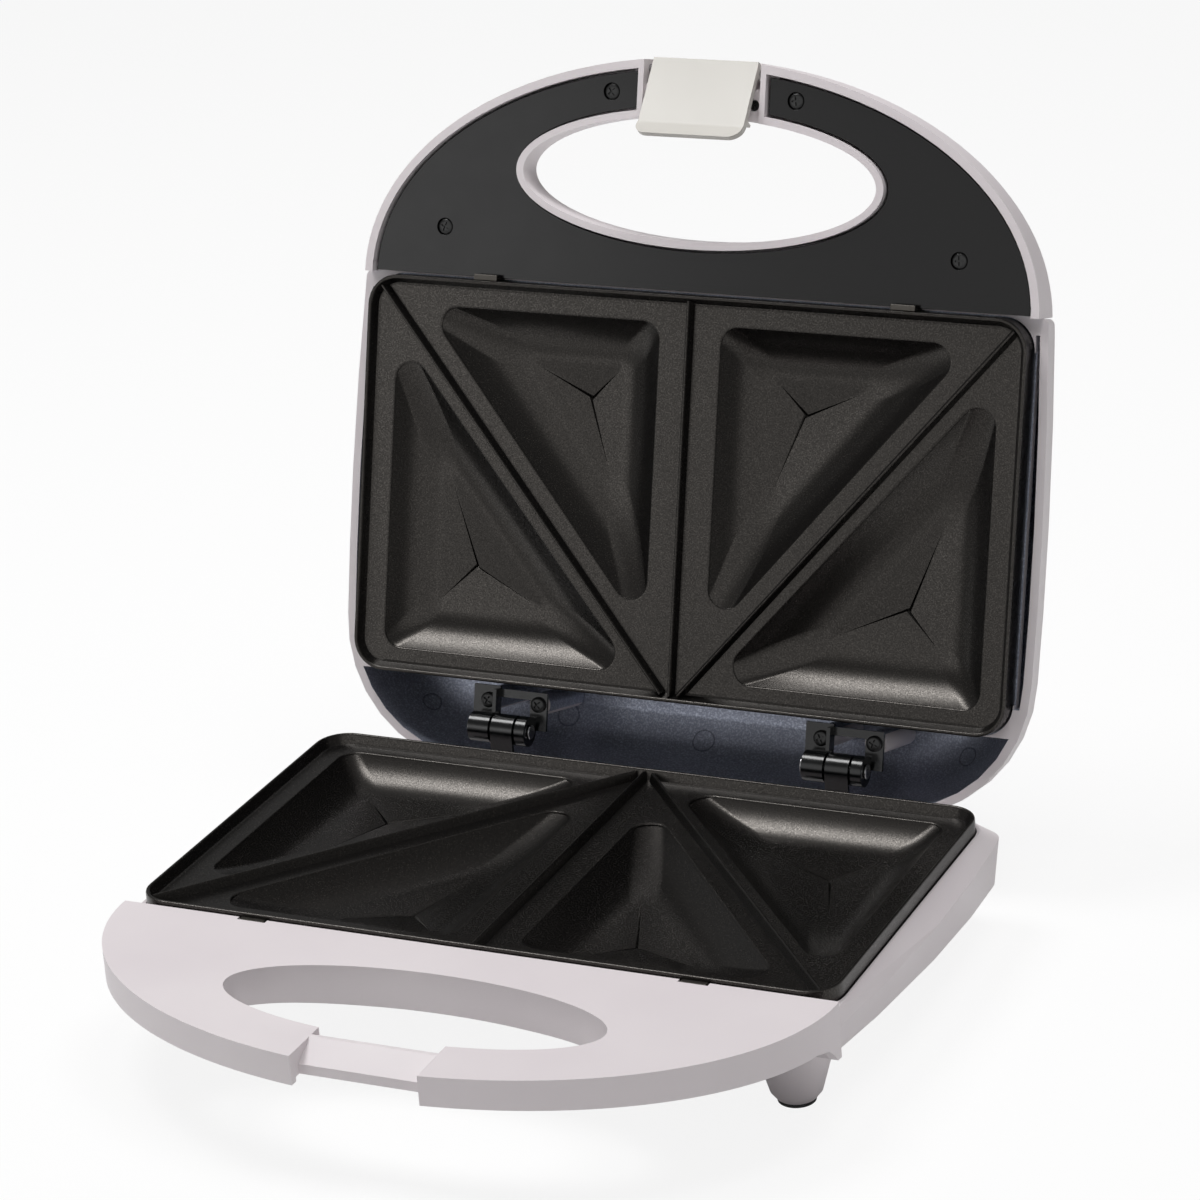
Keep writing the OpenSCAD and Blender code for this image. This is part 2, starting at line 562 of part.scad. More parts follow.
// everything solid of the lid's handle, drawn in by in
module lid_grip(in, skin, z0, back) {
    intersection() {
        slab(z0, 25) dee(lid_grip_a, lid_grip_b, in, back);
        sweep(150) polygon([[lid_front, -1], [lid_front, lid_grip_z - 2.4 - skin],
            [lid_front + 1.6, lid_grip_z - 0.6 - skin], [lid_front + 5, lid_grip_z - skin],
            [lid_hole_y, lid_grip_z + 0.4 - skin], [front_y - 10, lid_grip_z + 2.2 - skin],
            [front_y + 2, lid_grip_z + 4 - skin], [front_y + 2, -1]]);
    }
}
leaf_boss_xy = [for (s = [-1, 1], p = leaf_screws) [s*hinge_x + p[0], hinge_y + p[1]]];
module lid_shell() color(white) on_lid() difference() {
    union() {
        difference() {
            lid_outer();
            lid_inner();
        }
        // flat webs at the plate's corners
        slab(lid_edge_z, plate_wall_h + plate_gap + seat_t) difference() {
            lid_plan(1.5);
            translate([-150, plate_d/2 + 0.4]) square([300, 60]);
            rrect(plate_w + 0.8, plate_d + 0.8, plate_r + 0.4);
            for (s = [-1, 1]) translate([s*(plate_w/2 + 2), -2]) square([3.2, 113.6], center = true);
        }
        upper() seat();
        difference() {
            lid_grip(0, 0, lid_rim_z, front_y);
            lid_grip(skirt_t, 2, lid_rim_z - 1, front_y - wall);
        }
        // wall round the finger opening
        intersection() {
            slab(lid_rim_z, 20) oval(hole_a + 2.4, hole_b + 1.8, lid_hole_y);
            lid_grip(0, 0, lid_rim_z, front_y);
        }
        // cheeks and floor of the clip's notch
        intersection() {
            union() {
                block([-notch_w - 1.8, notch_w + 1.8], [lid_front, lid_hole_y - hole_b + 3],
                    [lid_rim_z, 20]);
                block([-notch_w - 4.6, notch_w + 4.6], [lid_front, notch_back],
                    [lid_cover_z + cover_t + fit, 20]);
            }
            lid_grip(0, 0, lid_rim_z, front_y);
        }
        intersection() {
            for (p = cover_screws(lid_grip_a, lid_grip_b)) translate([p[0], p[1], lid_cover_z + cover_t])
                cylinder(r = post_r, h = 12, $fn = 40);
            lid_grip(0, 1, lid_rim_z, front_y);
        }
        // bosses for the hinges' screws
        for (p = leaf_boss_xy) translate([p[0], p[1], strap_z + leaf_t])
            cylinder(r = post_r, h = lid_crown_z - 4 - strap_z, $fn = 40);
    }
    slab(0, plate_wall_h + plate_gap) rrect(plate_w + 0.8, plate_d + 0.8, plate_r + 0.4);
    slab(0, 30) oval(hole_a, hole_b - 0.6, lid_hole_y);
    // deep slot for the clip's ears, and the floor behind it
    block([-notch_w, notch_w], [-200, notch_back], [0, lid_grip_z - 1.6]);
    block([-notch_w, notch_w], [-200, lid_hole_y], [0, lid_cover_z]);
    rod_x(clip_pin_r + 0.02, [-notch_w - 3.8, notch_w + 3.8], clip_y, clip_z);
    for (x = [-17, 17]) translate([x, notch_back + 5, 0]) {
        cylinder(r = 1.8, h = lid_cover_z + 1.6, $fn = 32);
        cylinder(r = 0.95, h = lid_cover_z + 5, $fn = 32);
    }
    for (p = cover_screws(lid_grip_a, lid_grip_b)) translate([p[0], p[1], 0])
        cylinder(r = screw_r + 0.05, h = lid_grip_z - 2, $fn = 32);
    for (p = leaf_boss_xy) translate([p[0], p[1], 0]) cylinder(r = screw_r + 0.05, h = 14, $fn = 32);
    for (s = [-1, 1]) translate([s*lamp_x, -30, lid_crown_z - 6]) cylinder(r = 3.6, h = 8, $fn = 40);
    upper() clip_slots();
    // the cover lies over the wall at the handle's root
    block([skirt_t - lid_grip_a, lid_grip_a - skirt_t], [front_y - wall - 1, front_y + 0.8],
        [0, lid_cover_z + cover_t]);
}

module lid_handle_cover() color(black) on_lid() difference() {
    slab(lid_cover_z, lid_cover_z + cover_t) difference() {
        dee(lid_grip_a, lid_grip_b, skirt_t + cover_gap, front_y - 0.5);
        oval(hole_a + 2.4 + cover_gap, hole_b + 1.8 + cover_gap, lid_hole_y);
        translate([-notch_w - 1.8 - cover_gap, -200])
            square([2*(notch_w + 1.8 + cover_gap), 200 + lid_hole_y - hole_b + 3 + cover_gap]);
    }
    for (p = cover_screws(lid_grip_a, lid_grip_b)) translate([p[0], p[1], 0]) {
        cylinder(r = screw_r + 0.1, h = 12, $fn = 32);
        cylinder(r = 2.7, h = lid_cover_z + 1, $fn = 32);
    }
}
module lid_cover_screws() color([0.12, 0.12, 0.12]) on_lid() {
    for (p = cover_screws(lid_grip_a, lid_grip_b)) translate([p[0], p[1], lid_cover_z + 1])
        rotate([180, 0, 0]) screw(2.5, 0.9, screw_r, 4.4);
    for (x = [-17, 17]) translate([x, notch_back + 5, lid_cover_z + 1.6])
        rotate([180, 0, 0]) screw(1.65, 1.4, 0.9, 3);
}
module lamp(x, c) color(c) on_lid() translate([x, -30, lid_crown_z]) {
    cylinder(r = 4.6, h = 1, $fn = 48);
    translate([0, 0, 1]) cylinder(r1 = 4.2, r2 = 3, h = 1, $fn = 48);
    translate([0, 0, -5]) cylinder(r = 3.5, h = 5.1, $fn = 40);
}
module power_light() lamp(-lamp_x, [0.8, 0.1, 0.1]);
module ready_light() lamp(lamp_x, [0.1, 0.6, 0.2]);
module lid_leads() color([0.80, 0.30, 0.22]) on_lid()
    for (s = [-1, 1]) lead([[s*lamp_x, -30, lid_crown_z - 6.5], [s*lamp_x, -24, lid_crown_z - 6],
        [s*20, 20, lid_crown_z - 6], [s*20, 26, sheet_z + heater_t + clamp_t + plate_gap + 0.95]]);

// ------------------------------------------------------------ clip
module latch_pin() color(steel) on_lid()
    rod_x(clip_pin_r, [-notch_w - 3.6, notch_w + 3.6], clip_y, clip_z);

// drawn in its latched place, about its pivot
module latch() color(bright) on_latch() {
    face = clip_face_y - clip_y;
    lip = [face - lip_len*sin(lip_lean), -clip_len - lip_len*cos(lip_lean)];
    difference() {
        union() {
            intersection() {
                sweep(clip_half_w) polygon([[face, clip_top], [face + clip_t, clip_top],
                    [face + clip_t, -clip_len], [lip[0] + clip_t, lip[1]], lip, [face, -clip_len]]);
                // the lip's corners are round
                rotate([90, 0, 0]) translate([0, 0, -20]) linear_extrude(40) translate([0, lip[1]]) {
                    translate([-clip_half_w, lip_r]) square([2*clip_half_w, 60]);
                    translate([lip_r - clip_half_w, 0]) square([2*(clip_half_w - lip_r), 60]);
                    for (s = [-1, 1]) translate([s*(clip_half_w - lip_r), lip_r])
                        circle(lip_r, $fn = 48);
                }
            }
            // hook that goes under the catch
            sweep(clip_half_w) polygon([[face + clip_t - 0.1, catch_under - clip_z - 0.4],
                [catch_y - clip_y + 1.5, catch_under - clip_z - 0.4],
                [catch_y - clip_y + 1.5, catch_under - clip_z - 1.2],
                [face + clip_t - 0.1, catch_under - clip_z - 2.4]]);
            // ears on the pin
            for (x = [ear_x, [-ear_x[1], -ear_x[0]]]) {
                block(x, [face, 0], [-ear_r, clip_top]);
                rod_x(ear_r, x, 0, 0);
            }
        }
        rod_x(clip_pin_r + run_clear, [-30, 30], 0, 0);
    }
}

base_shell();
base_handle();
base_handle_screws();
base_handle_cover();
base_cover_screws();
lower_plate();
lower_heater();
lower_clamp_plate();
lower_clamp_screws();
lower_plate_clips();
thermostat();
thermal_fuse();
terminal_block();
base_leads();
cord_inlet();
foot_pad(0);  // foot_pad_1
foot_pad(1);  // foot_pad_2
foot_pad(2);  // foot_pad_3
foot_pad(3);  // foot_pad_4
base_hinge_left();
base_hinge_right();
base_hinge_screws();
lid_shell();
lid_handle_cover();
lid_cover_screws();
upper_plate();
upper_heater();
upper_clamp_plate();
upper_clamp_screws();
upper_plate_clips();
lid_hinge_left();
lid_hinge_right();
lid_hinge_screws();
hinge_pin_left();
hinge_pin_right();
power_light();
ready_light();
lid_leads();
latch_pin();
latch();
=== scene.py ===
# %% [markdown]
# # A sandwich toaster, dressed for rendering
# The toaster stands open: a white moulded base and lid, a black non-stick plate in each, two steel
# hinges at the back, and a white clip at the tip of the lid's handle. The solids come from the CAD
# model and stay where they are; this lesson gives each one rounded edges, a finish, and where the
# eye needs it, a finer shape.

# %% Load the frame
import json
from math import atan2, cos, pi, radians, sin, tau

import bmesh
import bpy
from mathutils import Matrix, Vector, geometry


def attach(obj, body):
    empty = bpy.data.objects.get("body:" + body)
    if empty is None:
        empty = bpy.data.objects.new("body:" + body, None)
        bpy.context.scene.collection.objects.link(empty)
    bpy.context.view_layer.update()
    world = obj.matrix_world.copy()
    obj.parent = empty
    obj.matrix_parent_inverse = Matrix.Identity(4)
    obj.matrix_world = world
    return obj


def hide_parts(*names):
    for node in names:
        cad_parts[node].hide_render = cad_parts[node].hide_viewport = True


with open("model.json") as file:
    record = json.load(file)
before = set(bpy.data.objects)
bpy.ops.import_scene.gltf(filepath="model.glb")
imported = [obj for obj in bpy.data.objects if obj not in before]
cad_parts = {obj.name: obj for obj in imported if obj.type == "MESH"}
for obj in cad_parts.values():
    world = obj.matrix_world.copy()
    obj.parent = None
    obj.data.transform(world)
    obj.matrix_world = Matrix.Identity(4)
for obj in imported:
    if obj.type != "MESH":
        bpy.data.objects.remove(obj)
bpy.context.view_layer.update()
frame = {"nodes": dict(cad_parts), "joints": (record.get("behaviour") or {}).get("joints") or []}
nodes = frame["nodes"]

# %% [markdown]
# ## The camera
# The photograph was taken from the front right, a little above, with a longish lens, so lines that
# run away from us close in only slowly. A constraint could aim the camera, but it would keep the
# horizon level, and a small roll is part of this picture. So the camera is turned by a matrix
# whose three columns are its right, its up and the opposite of where it looks.

# %% Camera
AZIMUTH, ELEVATION, ROLL = radians(25.6), radians(21.8), radians(-4.13)
CAMERA_PLACE, LENS_MM, SENSOR_MM = Vector((0.5201, -1.0505, 0.5872)), 129.93, 36
look = Vector((-sin(AZIMUTH)*cos(ELEVATION), cos(AZIMUTH)*cos(ELEVATION), -sin(ELEVATION)))
level_right = look.cross(Vector((0, 0, 1))).normalized()
level_up = level_right.cross(look)
right = level_right*cos(ROLL) + level_up*sin(ROLL)
up = level_up*cos(ROLL) - level_right*sin(ROLL)
camera = bpy.data.objects.new("camera", bpy.data.cameras.new("camera"))
camera.data.lens, camera.data.sensor_width = LENS_MM, SENSOR_MM
camera.data.clip_start, camera.data.clip_end = 0.05, 50
camera.matrix_world = Matrix.LocRotScale(
    CAMERA_PLACE, Matrix((right, up, -look)).transposed().to_quaternion(), None)
bpy.context.scene.collection.objects.link(camera)
bpy.context.scene.camera = camera
bpy.context.scene.view_settings.view_transform = "Standard"
print("camera looks along", [round(v, 3) for v in look])

# %% [markdown]
# ## Two drawing frames
# A maker draws the base and the lid as they lie on each other when the toaster is closed, in
# millimetres: x runs along the hinge, y runs away from us and z = 0 is the lower plate's rim. The
# joints of the CAD model say where the hinge is and how far it opens, so two matrices, `ON_BASE`
# and `ON_LID`, take such a drawing to its place on the open toaster. Drawing the lid at its tilt
# would do as well, but then none of its numbers could be shared with the base.

# %% Drawing frames
joints = {j["name"]: j for j in frame["joints"]}
hinge = Vector(joints["lid_hinge"]["pos_m"])
open_angle = radians(joints["lid_hinge"]["range_deg"][1])
MM = 0.001
HINGE_Y, HINGE_Z = 77.9, 0.4
ON_BASE = (Matrix.Translation(hinge) @ Matrix.Scale(MM, 4)
           @ Matrix.Translation((0, -HINGE_Y, -HINGE_Z)))
ON_LID = (Matrix.Translation(hinge) @ Matrix.Rotation(-open_angle, 4, "X")
          @ Matrix.Translation(-hinge) @ ON_BASE)
print("hinge", [round(v, 4) for v in hinge], "opens", round(open_angle*180/pi, 1), "degrees")

# %% [markdown]
# ## Tools for finishes
# A finish is a shader with textures that steer it. Painted images could do that, but they need an
# unwrapped surface and stay at one sharpness, so every texture here is computed from the place on
# the object. Colours are written as sRGB hex values, the way a picture editor shows them, and one
# function turns them to the linear values that a shader needs. The others each add a node or two.

# %% Colour and node helpers
def paint(hex_code):
    """sRGB hex to linear colour."""
    parts = [int(hex_code[i:i + 2], 16)/255 for i in (1, 3, 5)]
    return [c/12.92 if c <= 0.04045 else ((c + 0.055)/1.055)**2.4 for c in parts] + [1.0]


def add(tree, kind, inputs=None, **settings):
    """Adds a node; inputs holds values, or sockets that are linked."""
    node = tree.nodes.new(kind)
    for name, value in settings.items():
        setattr(node, name, value)
    for name, value in (inputs or {}).items():
        if isinstance(value, bpy.types.NodeSocket):
            tree.links.new(value, node.inputs[name])
        else:
            node.inputs[name].default_value = value
    return node


def calculate(tree, operation, *values):
    """One step of arithmetic between numbers or sockets."""
    return add(tree, "ShaderNodeMath", dict(enumerate(values)), operation=operation).outputs[0]


def finish_named(name, **constants):
    """A material with one Principled shader; constants are set on its own sockets."""
    material = bpy.data.materials.new(name)
    material.use_nodes = True
    tree = material.node_tree
    shader = tree.nodes["Principled BSDF"]
    for socket, value in constants.items():
        shader.inputs[socket.replace("_", " ")].default_value = value
    place = add(tree, "ShaderNodeTexCoord").outputs["Object"]
    return material, tree, shader, place


def feed(tree, shader, **sockets):
    """Links values to the shader's sockets."""
    for socket, value in sockets.items():
        tree.links.new(value, shader.inputs[socket.replace("_", " ")])


def grain(tree, place, size_mm, detail=2.0, roughness=0.5):
    """Noise whose lumps are about size_mm across."""
    return add(tree, "ShaderNodeTexNoise", {"Vector": place, "Scale": 1000/size_mm,
                                            "Detail": detail, "Roughness": roughness}).outputs["Fac"]


def between(tree, value, low, high, new_low, new_high):
    """Stretches the part of value from low to high over a new range."""
    limits = {"From Min": low, "From Max": high, "To Min": new_low, "To Max": new_high}
    return add(tree, "ShaderNodeMapRange", {"Value": value, **limits}).outputs["Result"]


def blend_colours(tree, factor, first, second):
    mix = add(tree, "ShaderNodeMix", data_type="RGBA")
    tree.links.new(factor, mix.inputs["Factor"])
    for socket, value in ((mix.inputs[6], first), (mix.inputs[7], second)):
        if isinstance(value, bpy.types.NodeSocket):
            tree.links.new(value, socket)
        else:
            socket.default_value = value
    return mix.outputs[2]


def bump(tree, shader, height, depth_mm, strength):
    inputs = {"Height": height, "Distance": depth_mm*MM, "Strength": strength}
    feed(tree, shader, Normal=add(tree, "ShaderNodeBump", inputs).outputs["Normal"])


print("sRGB middle grey is", round(paint("#808080")[0], 3), "in linear light")

# %% [markdown]
# ## White ABS
# The housings are injection-moulded ABS. The tool is lightly spark-eroded, so the plastic is satin
# rather than glossy: a broad soft highlight and a very fine grain. The real grain is about a tenth
# of a millimetre; it is drawn at half a millimetre so that it shows at all. One flat colour would
# do for a small picture, but a slow change of tone stands for the flow of the melt.

# %% White ABS
def white_abs():
    material, tree, shader, place = finish_named(
        "white_satin_abs", IOR=1.53, Specular_IOR_Level=0.5)
    flow, fine = grain(tree, place, 60, 3), grain(tree, place, 0.5, 2)
    colour = blend_colours(tree, between(tree, flow, 0.3, 0.7, 0, 1),
                           paint("#E6DFE1"), paint("#DFD7DA"))
    feed(tree, shader, Base_Color=colour, Roughness=between(tree, fine, 0.3, 0.7, 0.36, 0.46))
    bump(tree, shader, fine, 0.012, 0.6)
    return material


WHITE_ABS = white_abs()
print("finish:", WHITE_ABS.name)

# %% [markdown]
# ## Plastics from smoother tools
# The clip is white ABS too, a little creamier in tint than the housings, and its colour is painted a
# shade darker than theirs to hold back the strong softbox light that falls on it. The lid's handle is
# closed by a glossy black cover, and the one under the base is satin. Even moulded gloss is never a
# perfect mirror: a faint waviness of 6 mm, called orange peel, bends its reflections. A mesh could
# carry such waves, but a bump in the shader costs no faces and bends the light alike.

# %% Smoother ABS
def gloss_abs(name, light, dark, roughness, mirror=0.5):
    material, tree, shader, place = finish_named(name, IOR=1.53, Specular_IOR_Level=mirror)
    cloud, rubbed = grain(tree, place, 35, 2), grain(tree, place, 9, 3)
    colour = blend_colours(tree, between(tree, cloud, 0.35, 0.65, 0, 1), paint(light), paint(dark))
    feed(tree, shader, Base_Color=colour,
         Roughness=between(tree, rubbed, 0.35, 0.7, roughness*0.95, roughness*1.06))
    bump(tree, shader, grain(tree, place, 6, 1), 0.006, 0.3)
    return material


# The clip's white is painted a shade darker than the housings' white: painted shade for the strong
# light that falls on it.
CLIP_ABS_WITH_PAINTED_SHADE = gloss_abs("white_gloss_abs_painted_darker", "#CAC7C1", "#C5C2BC", 0.38, 0.3)
COVER_ABS = gloss_abs("black_gloss_abs", "#0A090A", "#0C0B0B", 0.2, 0.28)
BLACK_ABS = gloss_abs("black_satin_abs", "#161616", "#1C1B1B", 0.38)
print("finishes:", [m.name for m in (CLIP_ABS_WITH_PAINTED_SHADE, COVER_ABS, BLACK_ABS)])

# %% [markdown]
# ## Non-stick coating
# The plates are cast aluminium under a baked non-stick coat. It is nearly black and slightly
# brown, with metal flakes that make it speckle, and it has a soft sheen because the coat levels out
# while it is wet. Separate flakes of mesh would be far too many, so one noise stands for them: it
# lightens the colour, smooths the surface and strengthens the mirroring at the same spots. Real
# flakes are finer than the render can show, so they are drawn at about 0.4 mm.

# %% Non-stick coat
FLAKE_MM, SKIN_MM = 0.42, 0.9


def nonstick(name, dark, light, flake):
    material, tree, shader, place = finish_named(name, IOR=1.5, Specular_Tint=paint("#F4ECE4"))
    body, speck = grain(tree, place, 30, 2), grain(tree, place, FLAKE_MM, 2, 0.6)
    base = blend_colours(tree, between(tree, body, 0.3, 0.7, 0, 1), paint(dark), paint(light))
    colour = blend_colours(tree, between(tree, speck, 0.6, 0.8, 0, 0.2), base, paint(flake))
    feed(tree, shader, Base_Color=colour, Roughness=between(tree, speck, 0.3, 0.75, 0.34, 0.24),
         Specular_IOR_Level=between(tree, speck, 0.36, 0.66, 0.4, 0.76))
    bump(tree, shader, grain(tree, place, SKIN_MM, 2), 0.02, 0.1)
    return material


COAT = nonstick("nonstick_on_cast_aluminium", "#080808", "#0B0A0A", "#6A625A")
print("finish:", COAT.name, "with flakes of", FLAKE_MM, "mm")

# %% [markdown]
# ## Steel, rubber and small finishes
# The hinges are pressed steel under black paint, which is satin with a soft pebbled skin. Pins and
# spring tabs are bare bright steel: stretching the noise along one axis draws the fine lines that
# rolling and drawing leave. Feet and grommet are matt rubber. The heater is a mica sheet, the
# wires have silicone covers, and the lamps are clear dyed lenses.

# %% Small finishes
def painted_steel(name, colour, roughness):
    material, tree, shader, place = finish_named(name, IOR=1.5, Base_Color=paint(colour))
    pebbles = grain(tree, place, 1.6, 2)
    feed(tree, shader,
         Roughness=between(tree, pebbles, 0.3, 0.7, roughness*0.85, roughness*1.2))
    bump(tree, shader, pebbles, 0.025, 0.4)
    return material


def bare_steel(name, colour, roughness, stretch=(1, 1, 1)):
    material, tree, shader, place = finish_named(name, Metallic=1.0, Base_Color=paint(colour))
    lines = add(tree, "ShaderNodeMapping", {"Vector": place, "Scale": stretch}).outputs["Vector"]
    drawn = grain(tree, lines, 0.8, 3)
    feed(tree, shader, Roughness=between(tree, drawn, 0.3, 0.7, roughness*0.8, roughness*1.3))
    bump(tree, shader, drawn, 0.01, 0.5)
    return material


def dull(name, light, dark, roughness, lump_mm, depth_mm, **constants):
    material, tree, shader, place = finish_named(name, **constants)
    lump = grain(tree, place, lump_mm, 3)
    colour = blend_colours(tree, between(tree, lump, 0.35, 0.65, 0, 1), paint(light), paint(dark))
    feed(tree, shader, Base_Color=colour,
         Roughness=between(tree, lump, 0.3, 0.7, roughness, roughness*0.85))
    bump(tree, shader, lump, depth_mm, 0.6)
    return material


HINGE_PAINT = painted_steel("black_painted_steel", "#08090A", 0.2)
SCREW_BLACK = painted_steel("blackened_screw_steel", "#0B0B0B", 0.34)
TAB_STEEL = bare_steel("dark_spring_steel", "#55524E", 0.45, (6, 1, 1))
PIN_STEEL = bare_steel("bright_drawn_steel", "#A9A9AB", 0.25, (1, 8, 8))
SHEET_STEEL = bare_steel("galvanised_sheet_steel", "#A3A5A6", 0.4)
RUBBER = dull("foot_rubber", "#232324", "#2B2B2C", 0.75, 0.8, 0.03)
MICA = dull("mica_heater_sheet", "#B9A878", "#9C8B5E", 0.55, 4, 0.02)
CERAMIC = dull("glazed_steatite", "#DCD6C4", "#D2CAB6", 0.3, 5, 0.01)
SILICONE = dull("silicone_wire_cover", "#B0402F", "#A33A2B", 0.5, 1.5, 0.01)
CLEAR = {"Transmission_Weight": 0.35, "IOR": 1.58}
RED_LENS = dull("red_polycarbonate_lens", "#B01818", "#A01414", 0.12, 6, 0.005, **CLEAR)
GREEN_LENS = dull("green_polycarbonate_lens", "#1C8A3A", "#187C33", 0.12, 6, 0.005, **CLEAR)
print("finishes:", len(bpy.data.materials))

# %% [markdown]
# ## Rounded edges on the moulded solids
# No moulded or pressed edge is truly sharp, and the thin light line on a rounded edge is what makes
# a render look real. A shader can fake such a line, but a real rounding also shows in the outline.
# The CAD solid arrives as loose triangles. A copy of it is merged, flat areas are joined again,
# and a Bevel modifier rounds every edge that turns by more than 35 degrees. Weighted normals then
# keep large flat faces flat up to the rounding.

# %% Dressing a solid
WELD, FLAT, CREASED, ROUNDED = 2e-6, radians(1), radians(32), radians(35)


def plain_object(name, mesh):
    obj = bpy.data.objects.new(name, mesh)
    bpy.context.scene.collection.objects.link(obj)
    return obj


def keep_flat_faces(obj, weight):
    even = obj.modifiers.new("flat faces stay flat", "WEIGHTED_NORMAL")
    even.keep_sharp, even.weight = True, weight


def baked(obj):
    """Applies the modifiers by making a new mesh from the evaluated object."""
    bpy.context.view_layer.update()
    evaluated = obj.evaluated_get(bpy.context.evaluated_depsgraph_get())
    mesh = bpy.data.meshes.new_from_object(evaluated)
    obj.modifiers.clear()
    old, obj.data = obj.data, mesh
    bpy.data.meshes.remove(old)
    mesh.name = obj.name


def dressed(node, name, body, material, round_mm=0.4, steps=2, inside=None):
    """A copy of a CAD node with rounded edges, which stands for that node."""
    mesh = nodes[node].data.copy()
    mesh.materials.clear()
    mesh.materials.append(material)
    bm = bmesh.new()
    bm.from_mesh(mesh)
    bmesh.ops.remove_doubles(bm, verts=bm.verts, dist=WELD)
    bmesh.ops.dissolve_degenerate(bm, edges=bm.edges, dist=WELD)
    bmesh.ops.dissolve_limit(bm, angle_limit=FLAT, verts=bm.verts, edges=bm.edges)
    if inside:
        mesh.materials.append(inside[0])
        for face in bm.faces:
            face.material_index = 1 if inside[1](face.calc_center_median(), face.normal) else 0
    for face in bm.faces:
        face.smooth = True
    for edge in bm.edges:
        edge.smooth = len(edge.link_faces) == 2 and edge.calc_face_angle(0) < CREASED
    bm.to_mesh(mesh)
    bm.free()
    obj = plain_object(name, mesh)
    if round_mm:
        edge_round = obj.modifiers.new("rounded edges", "BEVEL")
        edge_round.limit_method, edge_round.angle_limit = "ANGLE", ROUNDED
        edge_round.width, edge_round.segments = round_mm*MM, steps
        edge_round.use_clamp_overlap, edge_round.harden_normals = True, True
        edge_round.miter_outer = "MITER_ARC"
    keep_flat_faces(obj, 80)
    baked(obj)
    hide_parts(node)
    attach(obj, body)
    print(f"{name}: {len(obj.data.polygons)} faces")


print("edges are rounded where they turn by more than", round(ROUNDED*180/pi), "degrees")

# %% [markdown]
# ## The lid's dark inside
# Inside, the lid carries a slate-blue heat-proof lacquer with a fine sparkle, sprayed over the white
# plastic. It could be a thin shell of its own, but one piece may carry two finishes: each face of
# the mesh says which slot it uses. A face belongs to the inside when it looks towards the middle
# of the lid and lies above its lower edge. Near the hinges the mould's ejector pins have left
# faint rings, a fine line at a set distance from each pin's middle.

# %% Lacquered inside
EJECTOR_MARKS = [((-93.5, 76.1, 25.0), 3.0), ((-46.8, 76.0, 30.3), 3.6), ((1.2, 79.2, 29.0), 3.6),
                 ((90.2, 74.3, 28.3), 3.0)]
RING_LINE, RING_FADE = 0.0001, 0.0004


def ejector_rings(tree, place):
    line = 0.0
    for centre, radius in EJECTOR_MARKS:
        away = add(tree, "ShaderNodeVectorMath", {0: place, 1: ON_LID @ Vector(centre)},
                   operation="DISTANCE").outputs["Value"]
        off = calculate(tree, "ABSOLUTE", calculate(tree, "SUBTRACT", away, radius*MM))
        ring = between(tree, off, RING_LINE, RING_FADE, 1, 0)
        line = calculate(tree, "MAXIMUM", ring, line)
    return line


def slate_lacquer():
    material, tree, shader, place = finish_named("slate_heatproof_lacquer", IOR=1.5, Metallic=0.5)
    cloud, speck = grain(tree, place, 25, 2), grain(tree, place, 0.6, 3, 0.6)
    colour = blend_colours(tree, between(tree, cloud, 0.3, 0.7, 0, 1),
                           paint("#868B9A"), paint("#969BAB"))
    colour = blend_colours(tree, between(tree, speck, 0.46, 0.68, 0, 0.75),
                           colour, paint("#CDD3E2"))
    colour = blend_colours(tree, between(tree, ejector_rings(tree, place), 0, 1, 0, 0.55),
                           colour, paint("#33363D"))
    feed(tree, shader, Base_Color=colour, Roughness=between(tree, speck, 0.3, 0.7, 0.46, 0.34))
    bump(tree, shader, speck, 0.03, 0.6)
    return material


LACQUER = slate_lacquer()
to_lid_drawing = ON_LID.inverted()
CEILING_Z, WALL_Z, LID_MIDDLE_Y, LACQUER_FRONT_Y, SLOPE = 9, 7.2, 10, -66, 0.5


def inside_lid(centre, normal):
    p, n = to_lid_drawing @ centre, (to_lid_drawing.to_3x3() @ normal).normalized()
    inward = n.x*p.x + n.y*(p.y - LID_MIDDLE_Y) < 0
    ceiling = n.z < -SLOPE and p.z > CEILING_Z
    wall = abs(n.z) <= SLOPE and inward and p.z > WALL_Z
    return p.y > LACQUER_FRONT_Y and (ceiling or wall)


print("finish:", LACQUER.name, "with", len(EJECTOR_MARKS), "ejector marks")

# %% [markdown]
# ## The white housings
# Base, lid and the base's handle are separate mouldings, and so is the clip. Their solids already
# have every wall and opening, so dressing them is enough, and a finer mesh would gain nothing.
# Their rounding is largest on the handle and the clip, where a hand goes.

# %% Housings
dressed("base_shell", "base_housing", "base", WHITE_ABS, 0.5)
dressed("base_handle", "base_handle_moulding", "base", WHITE_ABS, 0.7, 3)
dressed("lid_shell", "lid_housing", "lid", WHITE_ABS, 0.5, 3,
        inside=(LACQUER, inside_lid))
dressed("latch", "clip_moulding", "latch", CLIP_ABS_WITH_PAINTED_SHADE, 0.8, 3)

# %% [markdown]
# ## Covers, feet, grommet and lamps
# The covers are thin flat mouldings with a crisp edge, so their rounding is small. Rubber can't
# hold a sharp edge, so the feet's pads and the grommet in the back wall get one more step in a
# rounding of their own. The two lamps on the lid's top are small domed lenses.

# %% Covers, feet, grommet and lamps
dressed("lid_handle_cover", "lid_handle_plate", "lid", COVER_ABS, 0.35)
dressed("base_handle_cover", "base_handle_underplate", "base", BLACK_ABS, 0.35)
dressed("cord_inlet", "cord_grommet", "base", RUBBER, 0.5, 3)
for i in (1, 2, 3, 4):
    dressed(f"foot_pad_{i}", f"foot_rubber_{i}", "base", RUBBER, 0.4, 3)
dressed("power_light", "power_lens", "lid", RED_LENS, 0.4, 3)
dressed("ready_light", "ready_lens", "lid", GREEN_LENS, 0.4, 3)

